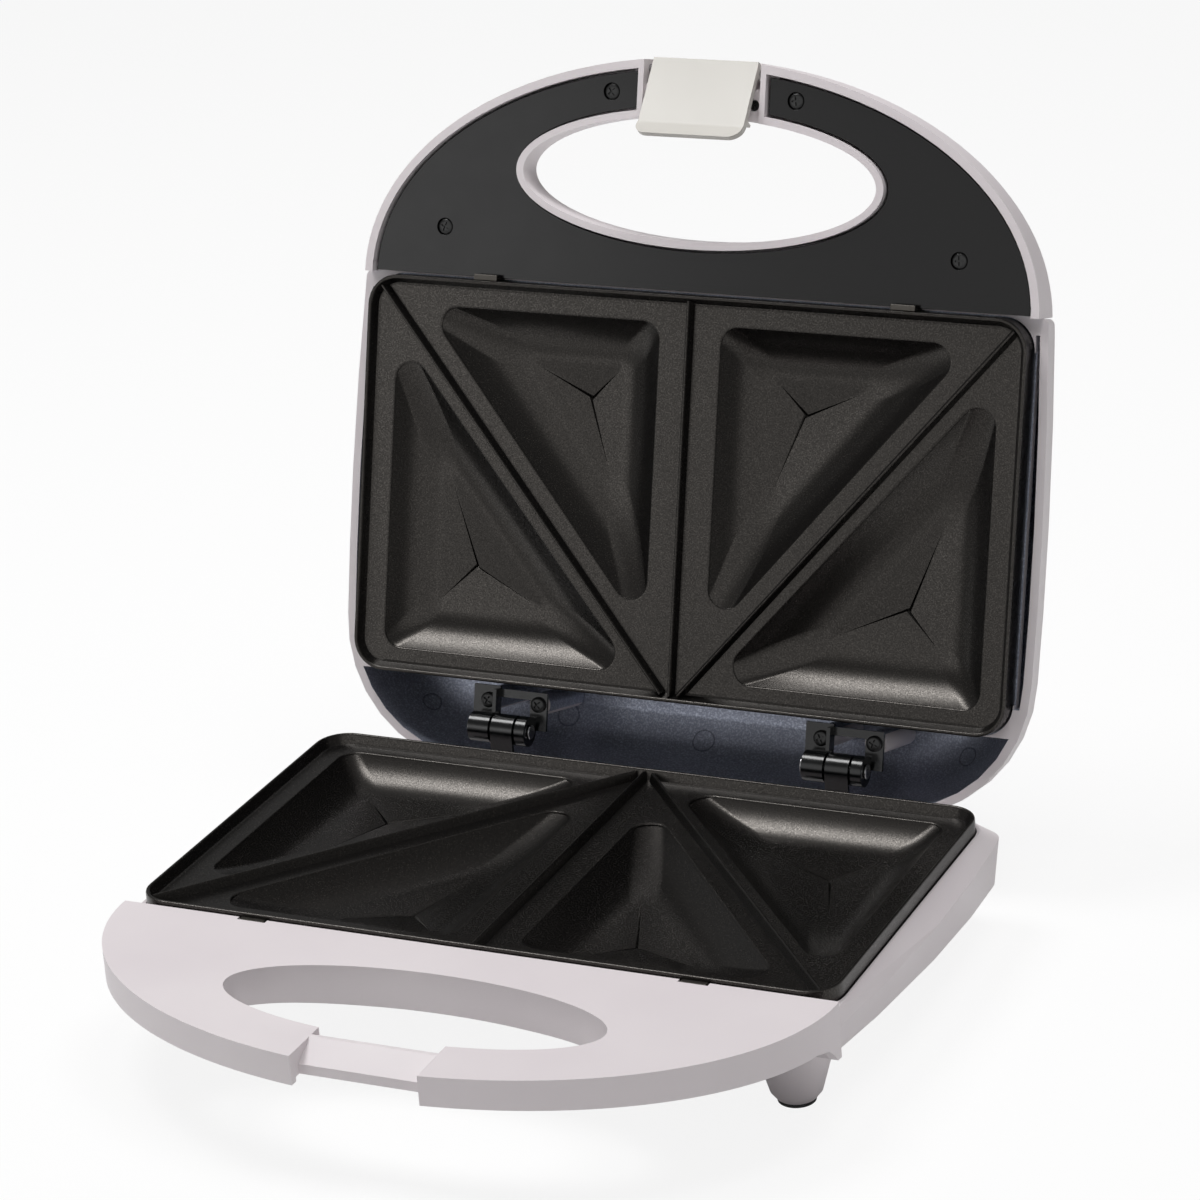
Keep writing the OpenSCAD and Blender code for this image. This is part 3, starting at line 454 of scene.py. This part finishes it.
# %% [markdown]
# ## Hinges, pins and tabs
# Each hinge is two pressed leaves whose rolled ends take turns on one pin. The pins ride with the
# lid, as they are pressed into its leaves. Small spring tabs hold the plates' front edges. Sheet
# of 1.2 mm has room for a rounding of a quarter of a millimetre, and thinner tabs for less.

# %% Hinges, pins and tabs
for side in ("left", "right"):
    dressed(f"base_hinge_{side}", f"base_hinge_leaf_{side}", "base",
            HINGE_PAINT, 0.25)
    dressed(f"lid_hinge_{side}", f"lid_hinge_leaf_{side}", "lid", HINGE_PAINT, 0.25)
    dressed(f"hinge_pin_{side}", f"hinge_rivet_{side}", "lid", PIN_STEEL, 0.25, 3)
dressed("latch_pin", "clip_pivot_pin", "lid", PIN_STEEL, 0.2)
dressed("lower_plate_clips", "lower_spring_tabs", "base", TAB_STEEL, 0.15)
dressed("upper_plate_clips", "upper_spring_tabs", "lid", TAB_STEEL, 0.15)

# %% [markdown]
# ## What makes the heat
# Behind each plate a mica sheet carries the heating wire, and a thin steel sheet presses it on. The
# thermostat, the fuse and the terminal block sit beside it in the base. None of this shows from
# outside, so small roundings do, and the leads, which are round already, get none.

# %% Inner pieces
for half, body in (("lower", "base"), ("upper", "lid")):
    dressed(f"{half}_heater", f"{half}_mica_heater", body, MICA, 0.15)
    dressed(f"{half}_clamp_plate", f"{half}_pressing_sheet", body, SHEET_STEEL, 0.15)
dressed("thermostat", "bimetal_thermostat", "base", SHEET_STEEL, 0.2)
dressed("thermal_fuse", "ceramic_fuse", "base", CERAMIC, 0.3)
dressed("terminal_block", "ceramic_terminal_block", "base", CERAMIC, 0.3)
dressed("base_leads", "base_silicone_leads", "base", SILICONE, 0)
dressed("lid_leads", "lid_silicone_leads", "lid", SILICONE, 0)

# %% [markdown]
# ## The non-stick plates
# Each plate is one casting: a raised rim, a flat land, four three-cornered pockets and three thin
# ribs that cut and seal the sandwiches. It could be sculpted or cut out with booleans, but such a
# form is a stack of outlines. Every outline has the same number of points as the one above it, so
# skins can be drawn between them, and the profile of the stack decides how the light runs: a
# crisp upper edge, a steep wall and then a wide hollow curve.

# %% Outlines and skins
PLATE_W, PLATE_D, PLATE_R, LAND = 221, 127, 10, 3.2
ARC = 9


def rounded_rectangle(inset, z):
    radius, ring = PLATE_R - inset, []
    for sx, sy, start in ((1, 1, 0), (-1, 1, 90), (-1, -1, 180), (1, -1, 270)):
        for i in range(ARC + 1):
            a = radians(start + 90*i/ARC)
            ring.append(Vector((sx*(PLATE_W/2 - PLATE_R) + radius*cos(a),
                                sy*(PLATE_D/2 - PLATE_R) + radius*sin(a), z)))
    return ring


def incircle(corners):
    a, b, c = ((corners[i - 2] - corners[i - 1]).length for i in range(3))
    centre = (a*corners[0] + b*corners[1] + c*corners[2])/(a + b + c)
    u, v = corners[1] - corners[0], corners[2] - corners[0]
    return centre, abs(u.x*v.y - u.y*v.x)/(a + b + c)


def rounded_triangle(corners, inset, z, radius):
    """The triangle's outline drawn in by inset, counter-clockwise, with round corners."""
    centre, reach = incircle(corners)
    ring = []
    for i in range(3):
        point, before, after = corners[i], corners[i - 1], corners[(i + 1) % 3]
        d0, d1 = point - before, after - point
        a0, a1 = atan2(-d0.x, d0.y), atan2(-d1.x, d1.y)
        if a1 < a0:
            a1 += tau
        middle = centre + (point - centre)*(reach - inset - radius)/reach
        for k in range(ARC + 1):
            a = a0 + (a1 - a0)*k/ARC
            ring.append(Vector((middle.x + radius*cos(a), middle.y + radius*sin(a), z)))
    return ring


def skin(bm, rings):
    """Quads between one ring of corners and the next; returns the rings' vertices."""
    rows = [[bm.verts.new(p) for p in ring] for ring in rings]
    for lower, upper in zip(rows, rows[1:]):
        for i in range(len(lower)):
            j = (i + 1) % len(lower)
            bm.faces.new((lower[i], lower[j], upper[j], upper[i]))
    return rows


def fill(bm, *loops):
    """A flat face between an outer loop and the holes in it, as triangles."""
    corners = [v for loop in loops for v in loop]
    for tri in geometry.tessellate_polygon([[v.co for v in loop] for loop in loops]):
        bm.faces.new([corners[i] for i in tri])


print("points in the rim's outline:", len(rounded_rectangle(0, 0)))

# %% [markdown]
# The floor of a pocket is three nearly flat planes that fall towards its middle. Where two planes
# meet there is a narrow groove, about a millimetre and a half wide at the middle, that runs out to
# nothing in the corner. A bump could only hint at it, so it is modelled, and its edges are marked
# sharp, so that they stay crisp among smooth faces. Each row of a profile is the inset from the
# pocket's triangle, the height and the radius of the corners.

# %% One pocket
INNER = [Vector(p) for p in ((10.5, -54.3), (91.8, -54.3), (10.5, 42.5))]
OUTER = [Vector(p) for p in ((101, 56), (13.6, 56), (101, -45.2))]
POCKETS = [INNER, OUTER] + [[Vector((-p.x, p.y)) for p in reversed(t)] for t in (INNER, OUTER)]
POCKET_EDGE = [(-0.7, -3.2, 6.2), (-0.38, -3.24, 6.0), (-0.14, -3.38, 5.8), (0.02, -3.6, 5.6)]
HOLLOW_START, HOLLOW_END = 0.14, 15.2
HOLLOW_TOP, HOLLOW_FOOT, HOLLOW_POWER = -3.8, -11.3, 2.3
CORNER_R, CORNER_LOSS, CORNER_SWELL = 5.1, 1.9, 1.6
MIDDLE, GROOVE_HALF, GROOVE_DEEP, TIP_OUT, TIP_RISE = -12.7, 0.62, 0.7, 1.3, 0.04
UNDER_EDGE, CAST_WALL, UNDER_OUT, UNDER_ROUND = (-2.4, -5.1, 7.4), 1.8, 1.7, 1.4


def pocket_profile(steps):
    profile = list(POCKET_EDGE)
    for k in range(steps + 1):
        share = k/steps
        inset = HOLLOW_START + (HOLLOW_END - HOLLOW_START)*share
        z = HOLLOW_FOOT + (HOLLOW_TOP - HOLLOW_FOOT)*(1 - share)**HOLLOW_POWER
        profile.append((inset, z, CORNER_R - CORNER_LOSS*share + CORNER_SWELL*sin(pi*share)))
    return profile


def pocket_top(bm, corners):
    """Skins one pocket and returns its mouth, a loop of vertices."""
    rows = skin(bm, [rounded_triangle(corners, *row) for row in pocket_profile(10)])
    floor, centre = rows[-1], incircle(corners)[0]
    foot = bm.verts.new((centre.x, centre.y, MIDDLE - GROOVE_DEEP))
    half, n = (ARC + 1)//2, len(floor)
    starts = [floor[i*(ARC + 1) + half] for i in range(3)]
    tips = []
    for i in range(3):
        edge = [floor[(i*(ARC + 1) + half + k) % n] for k in range(ARC + 2)]
        away = ((edge[half].co + edge[-half - 1].co)/2).xy - centre
        tip = centre + away.normalized()*GROOVE_HALF*TIP_OUT
        tips.append(bm.verts.new((tip.x, tip.y, MIDDLE + TIP_RISE)))
        bm.faces.new(edge + [tips[-1]])
    for i in range(3):
        bm.faces.new((starts[i], foot, tips[i - 1]))
        bm.faces.new((starts[i], tips[i], foot))
        for tip in (tips[i - 1], tips[i], foot):
            bm.edges.get((starts[i], tip)).smooth = False
    for tip in tips:
        bm.edges.get((tip, foot)).smooth = False
    return rows[0]


def pocket_underside(bm, corners):
    """The same form one wall lower, with fewer steps, as nobody sees it."""
    hollow = pocket_profile(6)[len(POCKET_EDGE):]
    profile = [UNDER_EDGE] + [(i - UNDER_OUT, z - CAST_WALL, r + UNDER_ROUND) for i, z, r in hollow]
    rows = skin(bm, [rounded_triangle(corners, *row) for row in profile])
    centre = incircle(corners)[0]
    low = bm.verts.new((centre.x, centre.y, MIDDLE - CAST_WALL))
    for i in range(len(rows[-1])):
        bm.faces.new((rows[-1][i - 1], rows[-1][i], low))
    return rows[0]


print("pockets:", len(POCKETS), "each", -MIDDLE - LAND, "mm deep")

# %% [markdown]
# The ribs are low prisms with rounded tops. They are separate closed shapes that sink a little into
# the land, as the casting's fillets would be too fine to see. One runs from front to back and two
# run from the middle of the hinge side out to the front corners. The bosses underneath take the
# clamp's screws.

# %% The whole casting
RIM = [(0, -9), (0, -0.55), (0.14, -0.16), (0.42, 0), (0.78, 0), (1.08, -0.14), (1.28, -0.5),
       (2.15, -2.35), (2.5, -2.95), (3.2, -LAND)]
RIM_UNDER = [(0, -9), (0.25, -9), (1.3, -9), (1.7, -8.6), (1.8, -5.6), (2.6, -5.1)]
RIB = [(-1.4, -3.5), (-1.25, -3.1), (-0.6, -1.0), (-0.38, -0.5), (-0.13, -0.33), (0.13, -0.33),
       (0.38, -0.5), (0.6, -1.0), (1.25, -3.1), (1.4, -3.5)]
RIBS = [((0, -61.9), (0, 61.6))] + [((s*3, 61.2), (s*106, -59.8)) for s in (-1, 1)]
BOSSES = [(-53, 1.6), (53, 1.6), (0, -45)]
BOSS_R, BOSS_HEIGHT, BOSS_MIDDLE_Z = 3.4, 9.9, -9.65
CAST_WELD_MM, CAST_CREASED = 1e-4, radians(38)


def rib(bm, start, end):
    start, end = Vector(start), Vector(end)
    along = (end - start).normalized()
    side = Vector((-along.y, along.x))
    rows = skin(bm, [[Vector((*(p + side*w), z)) for w, z in RIB] for p in (start, end)])
    bm.faces.new(rows[0])
    bm.faces.new(rows[1])


def plate(name, node, body, place):
    bm = bmesh.new()
    rim = skin(bm, [rounded_rectangle(i, z) for i, z in RIM])
    fill(bm, rim[-1], *[pocket_top(bm, t) for t in POCKETS])
    under = skin(bm, [rounded_rectangle(i, z) for i, z in RIM_UNDER])
    fill(bm, under[-1], *[pocket_underside(bm, t) for t in POCKETS])
    for start, end in RIBS:
        rib(bm, start, end)
    for x, y in BOSSES:
        bmesh.ops.create_cone(bm, cap_ends=True, segments=24, radius1=BOSS_R, radius2=BOSS_R,
                              depth=BOSS_HEIGHT, matrix=Matrix.Translation((x, y, BOSS_MIDDLE_Z)))
    bmesh.ops.remove_doubles(bm, verts=bm.verts, dist=CAST_WELD_MM)
    for face in bm.faces:
        face.smooth = True
    for edge in bm.edges:
        if len(edge.link_faces) == 2 and edge.calc_face_angle(0) > CAST_CREASED:
            edge.smooth = False
    bmesh.ops.transform(bm, matrix=place, verts=bm.verts)
    bmesh.ops.recalc_face_normals(bm, faces=bm.faces)
    mesh = bpy.data.meshes.new(name)
    bm.to_mesh(mesh)
    bm.free()
    mesh.materials.append(COAT)
    obj = plain_object(name, mesh)
    keep_flat_faces(obj, 60)
    baked(obj)
    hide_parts(node)
    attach(obj, body)
    print(f"{name}: {len(obj.data.polygons)} faces")


RIM_GAP = 0.3
turned_over = ON_LID @ Matrix.Translation((0, 0, RIM_GAP)) @ Matrix.Scale(-1, 4, (0, 0, 1))
plate("lower_nonstick_plate", "lower_plate", "base", ON_BASE)
plate("upper_nonstick_plate", "upper_plate", "lid", turned_over)

# %% [markdown]
# ## Screws by Geometry Nodes
# Twenty-eight screws hold the toaster together, and all are one shape at a few sizes. Copies of one
# mesh would need a scale for each, while a node tree grows the shape from its sizes: a disc is
# pulled up into a shank, widened into a head, and its crown is drawn in; then a cross is cut out.

# %% One screw
SCREW_SIZES = ("Head Radius", "Head Height", "Shank Radius", "Shank Length")
SCREW_SIDES, SCREW_WELD, SCREW_CREASED = 28, 1e-6, radians(32)
CROWN = ((0.5, 1.0), (0.3, 0.9), (0.2, 0.78))
CROSS_LONG, CROSS_WIDE, CROSS_DEEP = 1.15, 0.24, 1.1


def upward(tree, height):
    return add(tree, "ShaderNodeCombineXYZ", {"Z": height}).outputs[0]


def screw_body(tree, size):
    """Shank and head, drawn up from a disc; a row of CROWN is a share of height and a scale."""
    disc = add(tree, "GeometryNodeMeshCircle",
               {"Vertices": SCREW_SIDES, "Radius": size["Shank Radius"]}, fill_type="NGON").outputs[0]
    below = upward(tree, calculate(tree, "MULTIPLY", size["Shank Length"], -1))
    disc = add(tree, "GeometryNodeTransform", {"Geometry": disc, "Translation": below}).outputs[0]
    bottom = add(tree, "GeometryNodeFlipFaces", {"Mesh": disc}).outputs[0]
    widening = calculate(tree, "DIVIDE", size["Head Radius"], size["Shank Radius"])
    steps = [(size["Shank Length"], 1.0), (0.0, widening)]
    steps += [(calculate(tree, "MULTIPLY", size["Head Height"], share), s) for share, s in CROWN]
    body, chosen = disc, None
    for height, scale in steps:
        inputs = {"Mesh": body, "Offset": upward(tree, height), "Offset Scale": 1.0,
                  "Individual": False}
        if chosen:
            inputs["Selection"] = chosen
        pulled = add(tree, "GeometryNodeExtrudeMesh", inputs, mode="FACES")
        chosen = pulled.outputs["Top"]
        body = add(tree, "GeometryNodeScaleElements",
                   {"Geometry": pulled.outputs["Mesh"], "Selection": chosen, "Scale": scale},
                   domain="FACE").outputs[0]
    closed = add(tree, "GeometryNodeJoinGeometry")
    for part in (bottom, body):
        tree.links.new(part, closed.inputs[0])
    return add(tree, "GeometryNodeMergeByDistance",
               {"Geometry": closed.outputs[0], "Distance": SCREW_WELD}).outputs[0]


def cut_cross(tree, size, whole):
    long, wide = (calculate(tree, "MULTIPLY", size["Head Radius"], s)
                  for s in (CROSS_LONG, CROSS_WIDE))
    deep = calculate(tree, "MULTIPLY", size["Head Height"], CROSS_DEEP)
    for x, y in ((long, wide), (wide, long)):
        span = add(tree, "ShaderNodeCombineXYZ", {"X": x, "Y": y, "Z": deep}).outputs[0]
        block = add(tree, "GeometryNodeMeshCube", {"Size": span}).outputs[0]
        block = add(tree, "GeometryNodeTransform",
                    {"Geometry": block, "Translation": upward(tree, size["Head Height"])}).outputs[0]
        whole = add(tree, "GeometryNodeMeshBoolean", {"Mesh 1": whole, "Mesh 2": block},
                    operation="DIFFERENCE", solver="EXACT").outputs[0]
    return whole


def crisp_edges(tree, whole):
    smooth = add(tree, "GeometryNodeSetShadeSmooth",
                 {"Geometry": whole, "Shade Smooth": True}).outputs[0]
    angle = add(tree, "GeometryNodeInputMeshEdgeAngle").outputs[0]
    steep = add(tree, "FunctionNodeCompare", {0: angle, 1: SCREW_CREASED},
                operation="GREATER_THAN").outputs[0]
    return add(tree, "GeometryNodeSetShadeSmooth",
               {"Geometry": smooth, "Selection": steep, "Shade Smooth": False},
               domain="EDGE").outputs[0]


print("a head is scaled to", CROWN[-1][1], "at its crown")

# %% [markdown]
# The tree then sets one screw on each point that it is given, with z along the point's own outward
# direction, and turns each by a random angle from a fixed seed, as screws stop anywhere. Placing
# them by hand would be the same work for every set.

# %% The screw tree
def on_points(tree, size, screw):
    outward = add(tree, "GeometryNodeInputNamedAttribute", {"Name": "outward"},
                  data_type="FLOAT_VECTOR").outputs[0]
    aligned = add(tree, "FunctionNodeAlignRotationToVector", {"Vector": outward},
                  axis="Z").outputs[0]
    angle = add(tree, "FunctionNodeRandomValue", {2: 0.0, 3: pi/2, "Seed": size["Seed"]},
                data_type="FLOAT").outputs[1]
    spin = add(tree, "FunctionNodeAxisAngleToRotation",
               {"Axis": (0, 0, 1), "Angle": angle}).outputs[0]
    turned = add(tree, "FunctionNodeRotateRotation", {"Rotation": aligned, "Rotate By": spin},
                 rotation_space="LOCAL").outputs[0]
    placed = add(tree, "GeometryNodeInstanceOnPoints",
                 {"Points": size["Geometry"], "Instance": screw, "Rotation": turned}).outputs[0]
    return add(tree, "GeometryNodeRealizeInstances", {"Geometry": placed}).outputs[0]


def screw_tree():
    tree = bpy.data.node_groups.new("cross_head_screws", "GeometryNodeTree")
    kinds = {"Geometry": "Geometry", **{name: "Float" for name in SCREW_SIZES}, "Seed": "Int",
             "Finish": "Material"}
    for name, kind in kinds.items():
        tree.interface.new_socket(name, in_out="INPUT", socket_type=f"NodeSocket{kind}")
    tree.interface.new_socket("Geometry", in_out="OUTPUT", socket_type="NodeSocketGeometry")
    size = add(tree, "NodeGroupInput").outputs
    screw = crisp_edges(tree, cut_cross(tree, size, screw_body(tree, size)))
    coated = add(tree, "GeometryNodeSetMaterial",
                 {"Geometry": on_points(tree, size, screw), "Material": size["Finish"]}).outputs[0]
    tree.links.new(coated, add(tree, "NodeGroupOutput").inputs[0])
    return tree


SCREW_TREE = screw_tree()
print("screw tree:", len(SCREW_TREE.nodes), "nodes")

# %% [markdown]
# A set of screws is a mesh of bare points with that tree on it. The clamps' and the handle's
# screws are bright steel, and those that can be seen are blackened. Sizes are head radius, head
# height, shank radius and shank length, and every seat is where the CAD solid has its screw.

# %% Setting screws
def set_screws(name, node, body, place, seats, outward, sizes, finish, seed):
    """Screws at seats, a list of places in drawing millimetres."""
    mesh = bpy.data.meshes.new(name)
    mesh.from_pydata([place @ Vector(p) for p in seats], [], [])
    way = (place.to_3x3() @ Vector(outward)).normalized()
    ways = mesh.attributes.new("outward", "FLOAT_VECTOR", "POINT")
    ways.data.foreach_set("vector", list(way)*len(seats))
    obj = plain_object(name, mesh)
    grower = obj.modifiers.new("screws", "NODES")
    grower.node_group = SCREW_TREE
    values = dict(zip(SCREW_SIZES, [s*MM for s in sizes]), Seed=seed, Finish=finish)
    for item in SCREW_TREE.interface.items_tree:
        if item.in_out == "INPUT" and item.name in values:
            grower[item.identifier] = values[item.name]
    baked(obj)
    if node:
        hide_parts(node)
    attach(obj, body)
    print(f"{name}: {len(seats)} screws, {len(obj.data.polygons)} faces")


GRIP_Y, HINGE_X = -64.0, 56.9
DOWN, UP, BACK = (0, 0, -1), (0, 0, 1), (0, 1, 0)
CLAMP_SCREW = (2.8, 1, 1.4, 8.4)


def along_grip(a, b, z):
    """The four places of a cover's screws along its oval edge."""
    return [(s*t*a, GRIP_Y - u*b, z) for s in (-1, 1) for t, u in ((0.763, 0.215), (0.272, 0.84))]


set_screws("base_cover_screw_set", "base_cover_screws", "base", ON_BASE,
           along_grip(113.1, 74.3, -8.8), DOWN, (2.8, 1.2, 1.4, 6), SCREW_BLACK, 1)
set_screws("base_handle_screw_set", "base_handle_screws", "base", ON_BASE,
           [(x, -61.7, -13.8) for x in (-90, -30, 30, 90)], BACK, (2, 1.6, 1.4, 8.3),
           PIN_STEEL, 2)
set_screws("lower_clamp_screw_set", "lower_clamp_screws", "base", ON_BASE,
           [(x, y, -17) for x, y in BOSSES], DOWN, CLAMP_SCREW, PIN_STEEL, 3)
set_screws("upper_clamp_screw_set", "upper_clamp_screws", "lid", ON_LID,
           [(x, y, 17.3) for x, y in BOSSES], UP, CLAMP_SCREW, PIN_STEEL, 4)
set_screws("base_hinge_screw_set", "base_hinge_screws", "base", ON_BASE,
           [(s*HINGE_X + d, 70.7, -14) for s in (-1, 1) for d in (-7, 7)], BACK,
           (2.7, 1.5, 1.4, 5.5), SCREW_BLACK, 5)
set_screws("lid_hinge_screw_set", "lid_hinge_screws", "lid", ON_LID,
           [(s*HINGE_X + x, HINGE_Y + y, 4) for s in (-1, 1)
            for x, y in ((-6.2, -8.3), (11.2, -8.4))],
           DOWN, (2.5, 1.3, 1.4, 8.2), SCREW_BLACK, 6)
set_screws("lid_cover_screw_set", "lid_cover_screws", "lid", ON_LID, along_grip(113, 72.3, 5.2),
           DOWN, (2.5, 0.9, 1.4, 4.4), SCREW_BLACK, 7)
set_screws("clip_notch_screw_set", None, "lid", ON_LID, [(x, -122.7, 5.8) for x in (-17, 17)],
           DOWN, (1.65, 1.4, 0.9, 3), SCREW_BLACK, 8)

# %% [markdown]
# ## Studio
# The picture has a pure white floor and background. Strong lamps could burn them out, but they
# would burn the white plastic out as well. Light Path tells the shader which rays come straight
# from the camera, through clear plastic or from a reflection. Camera rays and rays through plastic
# see pure white, and reflections only a share of it, or the black plates would mirror a white
# floor. The floor keeps a part of its real shading, so the shadow under the toaster stays.

# %% Floor and backdrop
PAPER_WHITE, SHADOW_SHARE, FLOOR_GLOSS = 1.0, 0.12, 0.12
FLOOR_REACH = 6


def seen_directly(tree, glossy_share):
    """1 for camera rays and rays through plastic, glossy_share for reflections, else 0."""
    path = add(tree, "ShaderNodeLightPath").outputs
    glossy = calculate(tree, "MULTIPLY", path["Is Glossy Ray"], glossy_share)
    either = calculate(tree, "MAXIMUM", path["Is Camera Ray"], glossy)
    return calculate(tree, "MAXIMUM", either, path["Is Transmission Ray"])


paper = bpy.data.materials.new("white_paper_floor")
paper.use_nodes = True
tree = paper.node_tree
tree.nodes.clear()
matt = add(tree, "ShaderNodeBsdfDiffuse", {"Color": paint("#F4F4F4")}).outputs[0]
glow = add(tree, "ShaderNodeEmission",
           {"Color": (1, 1, 1, 1), "Strength": PAPER_WHITE}).outputs[0]
share = calculate(tree, "MULTIPLY", seen_directly(tree, FLOOR_GLOSS), 1 - SHADOW_SHARE)
mixed = add(tree, "ShaderNodeMixShader", {0: share, 1: matt, 2: glow}).outputs[0]
add(tree, "ShaderNodeOutputMaterial", {"Surface": mixed})
floor_mesh = bpy.data.meshes.new("paper_floor")
floor_mesh.from_pydata([(x*FLOOR_REACH, y*FLOOR_REACH, 0) for x, y in
                        ((-1, -1), (1, -1), (1, 1), (-1, 1))], [], [(0, 1, 2, 3)])
floor_mesh.materials.append(paper)
floor = plain_object("paper_floor", floor_mesh)
print("floor:", floor.name, "keeps", SHADOW_SHARE, "of its shading")

# %% [markdown]
# What a gloss surface mirrors is another matter. The room behind the toaster is dark, and one wide
# bright wall stands in front of it, so the lid's plate mirrors that wall while the lower plate stays
# black. A real panel with a lamp on it would also light the plastic. Here the wall is a soft round
# patch of the world round one direction, found with a dot product, which only reflections see.

# %% World
FILL, ROOM_GLOSS, WALL_GLOSS = 0.2, 0.015, 3.3
WALL_WAY = Vector((0.1, -0.98, 0.18)).normalized()
WALL_EDGE, WALL_CORE = cos(radians(43)), cos(radians(8))
world = bpy.data.worlds.new("studio")
bpy.context.scene.world = world
world.use_nodes = True
tree = world.node_tree
tree.nodes.clear()
way = add(tree, "ShaderNodeTexCoord").outputs["Generated"]
nearness = add(tree, "ShaderNodeVectorMath", {0: way, 1: WALL_WAY},
               operation="DOT_PRODUCT").outputs["Value"]
wall = add(tree, "ShaderNodeMapRange",
           {"Value": nearness, "From Min": WALL_EDGE, "From Max": WALL_CORE,
            "To Min": ROOM_GLOSS, "To Max": WALL_GLOSS}, interpolation_type="SMOOTHSTEP").outputs[0]
room, white = (add(tree, "ShaderNodeBackground", {"Color": (1, 1, 1, 1), "Strength": s}).outputs[0]
               for s in (FILL, PAPER_WHITE))
sky = add(tree, "ShaderNodeMixShader", {0: seen_directly(tree, wall), 1: room, 2: white}).outputs[0]
add(tree, "ShaderNodeOutputWorld", {"Surface": sky})
print("world:", world.name, "fills with", FILL)

# %% [markdown]
# A softbox hangs over the toaster's left side, as on a product photographer's table, and gives the
# plates their highlights. A second lamp on the other side lights the white plastic evenly and stays
# out of the reflections. A weak third one in front lifts what looks forward, which stays a tone
# darker. Area lamps of this size give soft edges to the shadows, which a point or sun lamp doesn't.

# %% Lamps
def softbox(name, place, aim, width, height, watts):
    lamp = bpy.data.lights.new(name, "AREA")
    lamp.shape, lamp.size, lamp.size_y, lamp.energy = "RECTANGLE", width, height, watts
    obj = bpy.data.objects.new(name, lamp)
    place, aim = Vector(place), Vector(aim)
    obj.matrix_world = Matrix.LocRotScale(place, (aim - place).to_track_quat("-Z", "Y"), None)
    bpy.context.scene.collection.objects.link(obj)
    return obj


softbox("overhead_softbox", (-0.52, 0.0, 1.3), (0, 0, 0.1), 0.46, 0.58, 10)
even_light = softbox("overhead_fill", (0.3, 0.05, 1.25), (0, 0, 0.1), 0.5, 0.5, 5.6)
even_light.visible_glossy = False
softbox("front_fill", (-1.2, -1.5, 0.55), (0, 0, 0.12), 0.8, 0.6, 2)
print("lamps:", [light.name for light in bpy.data.lights])
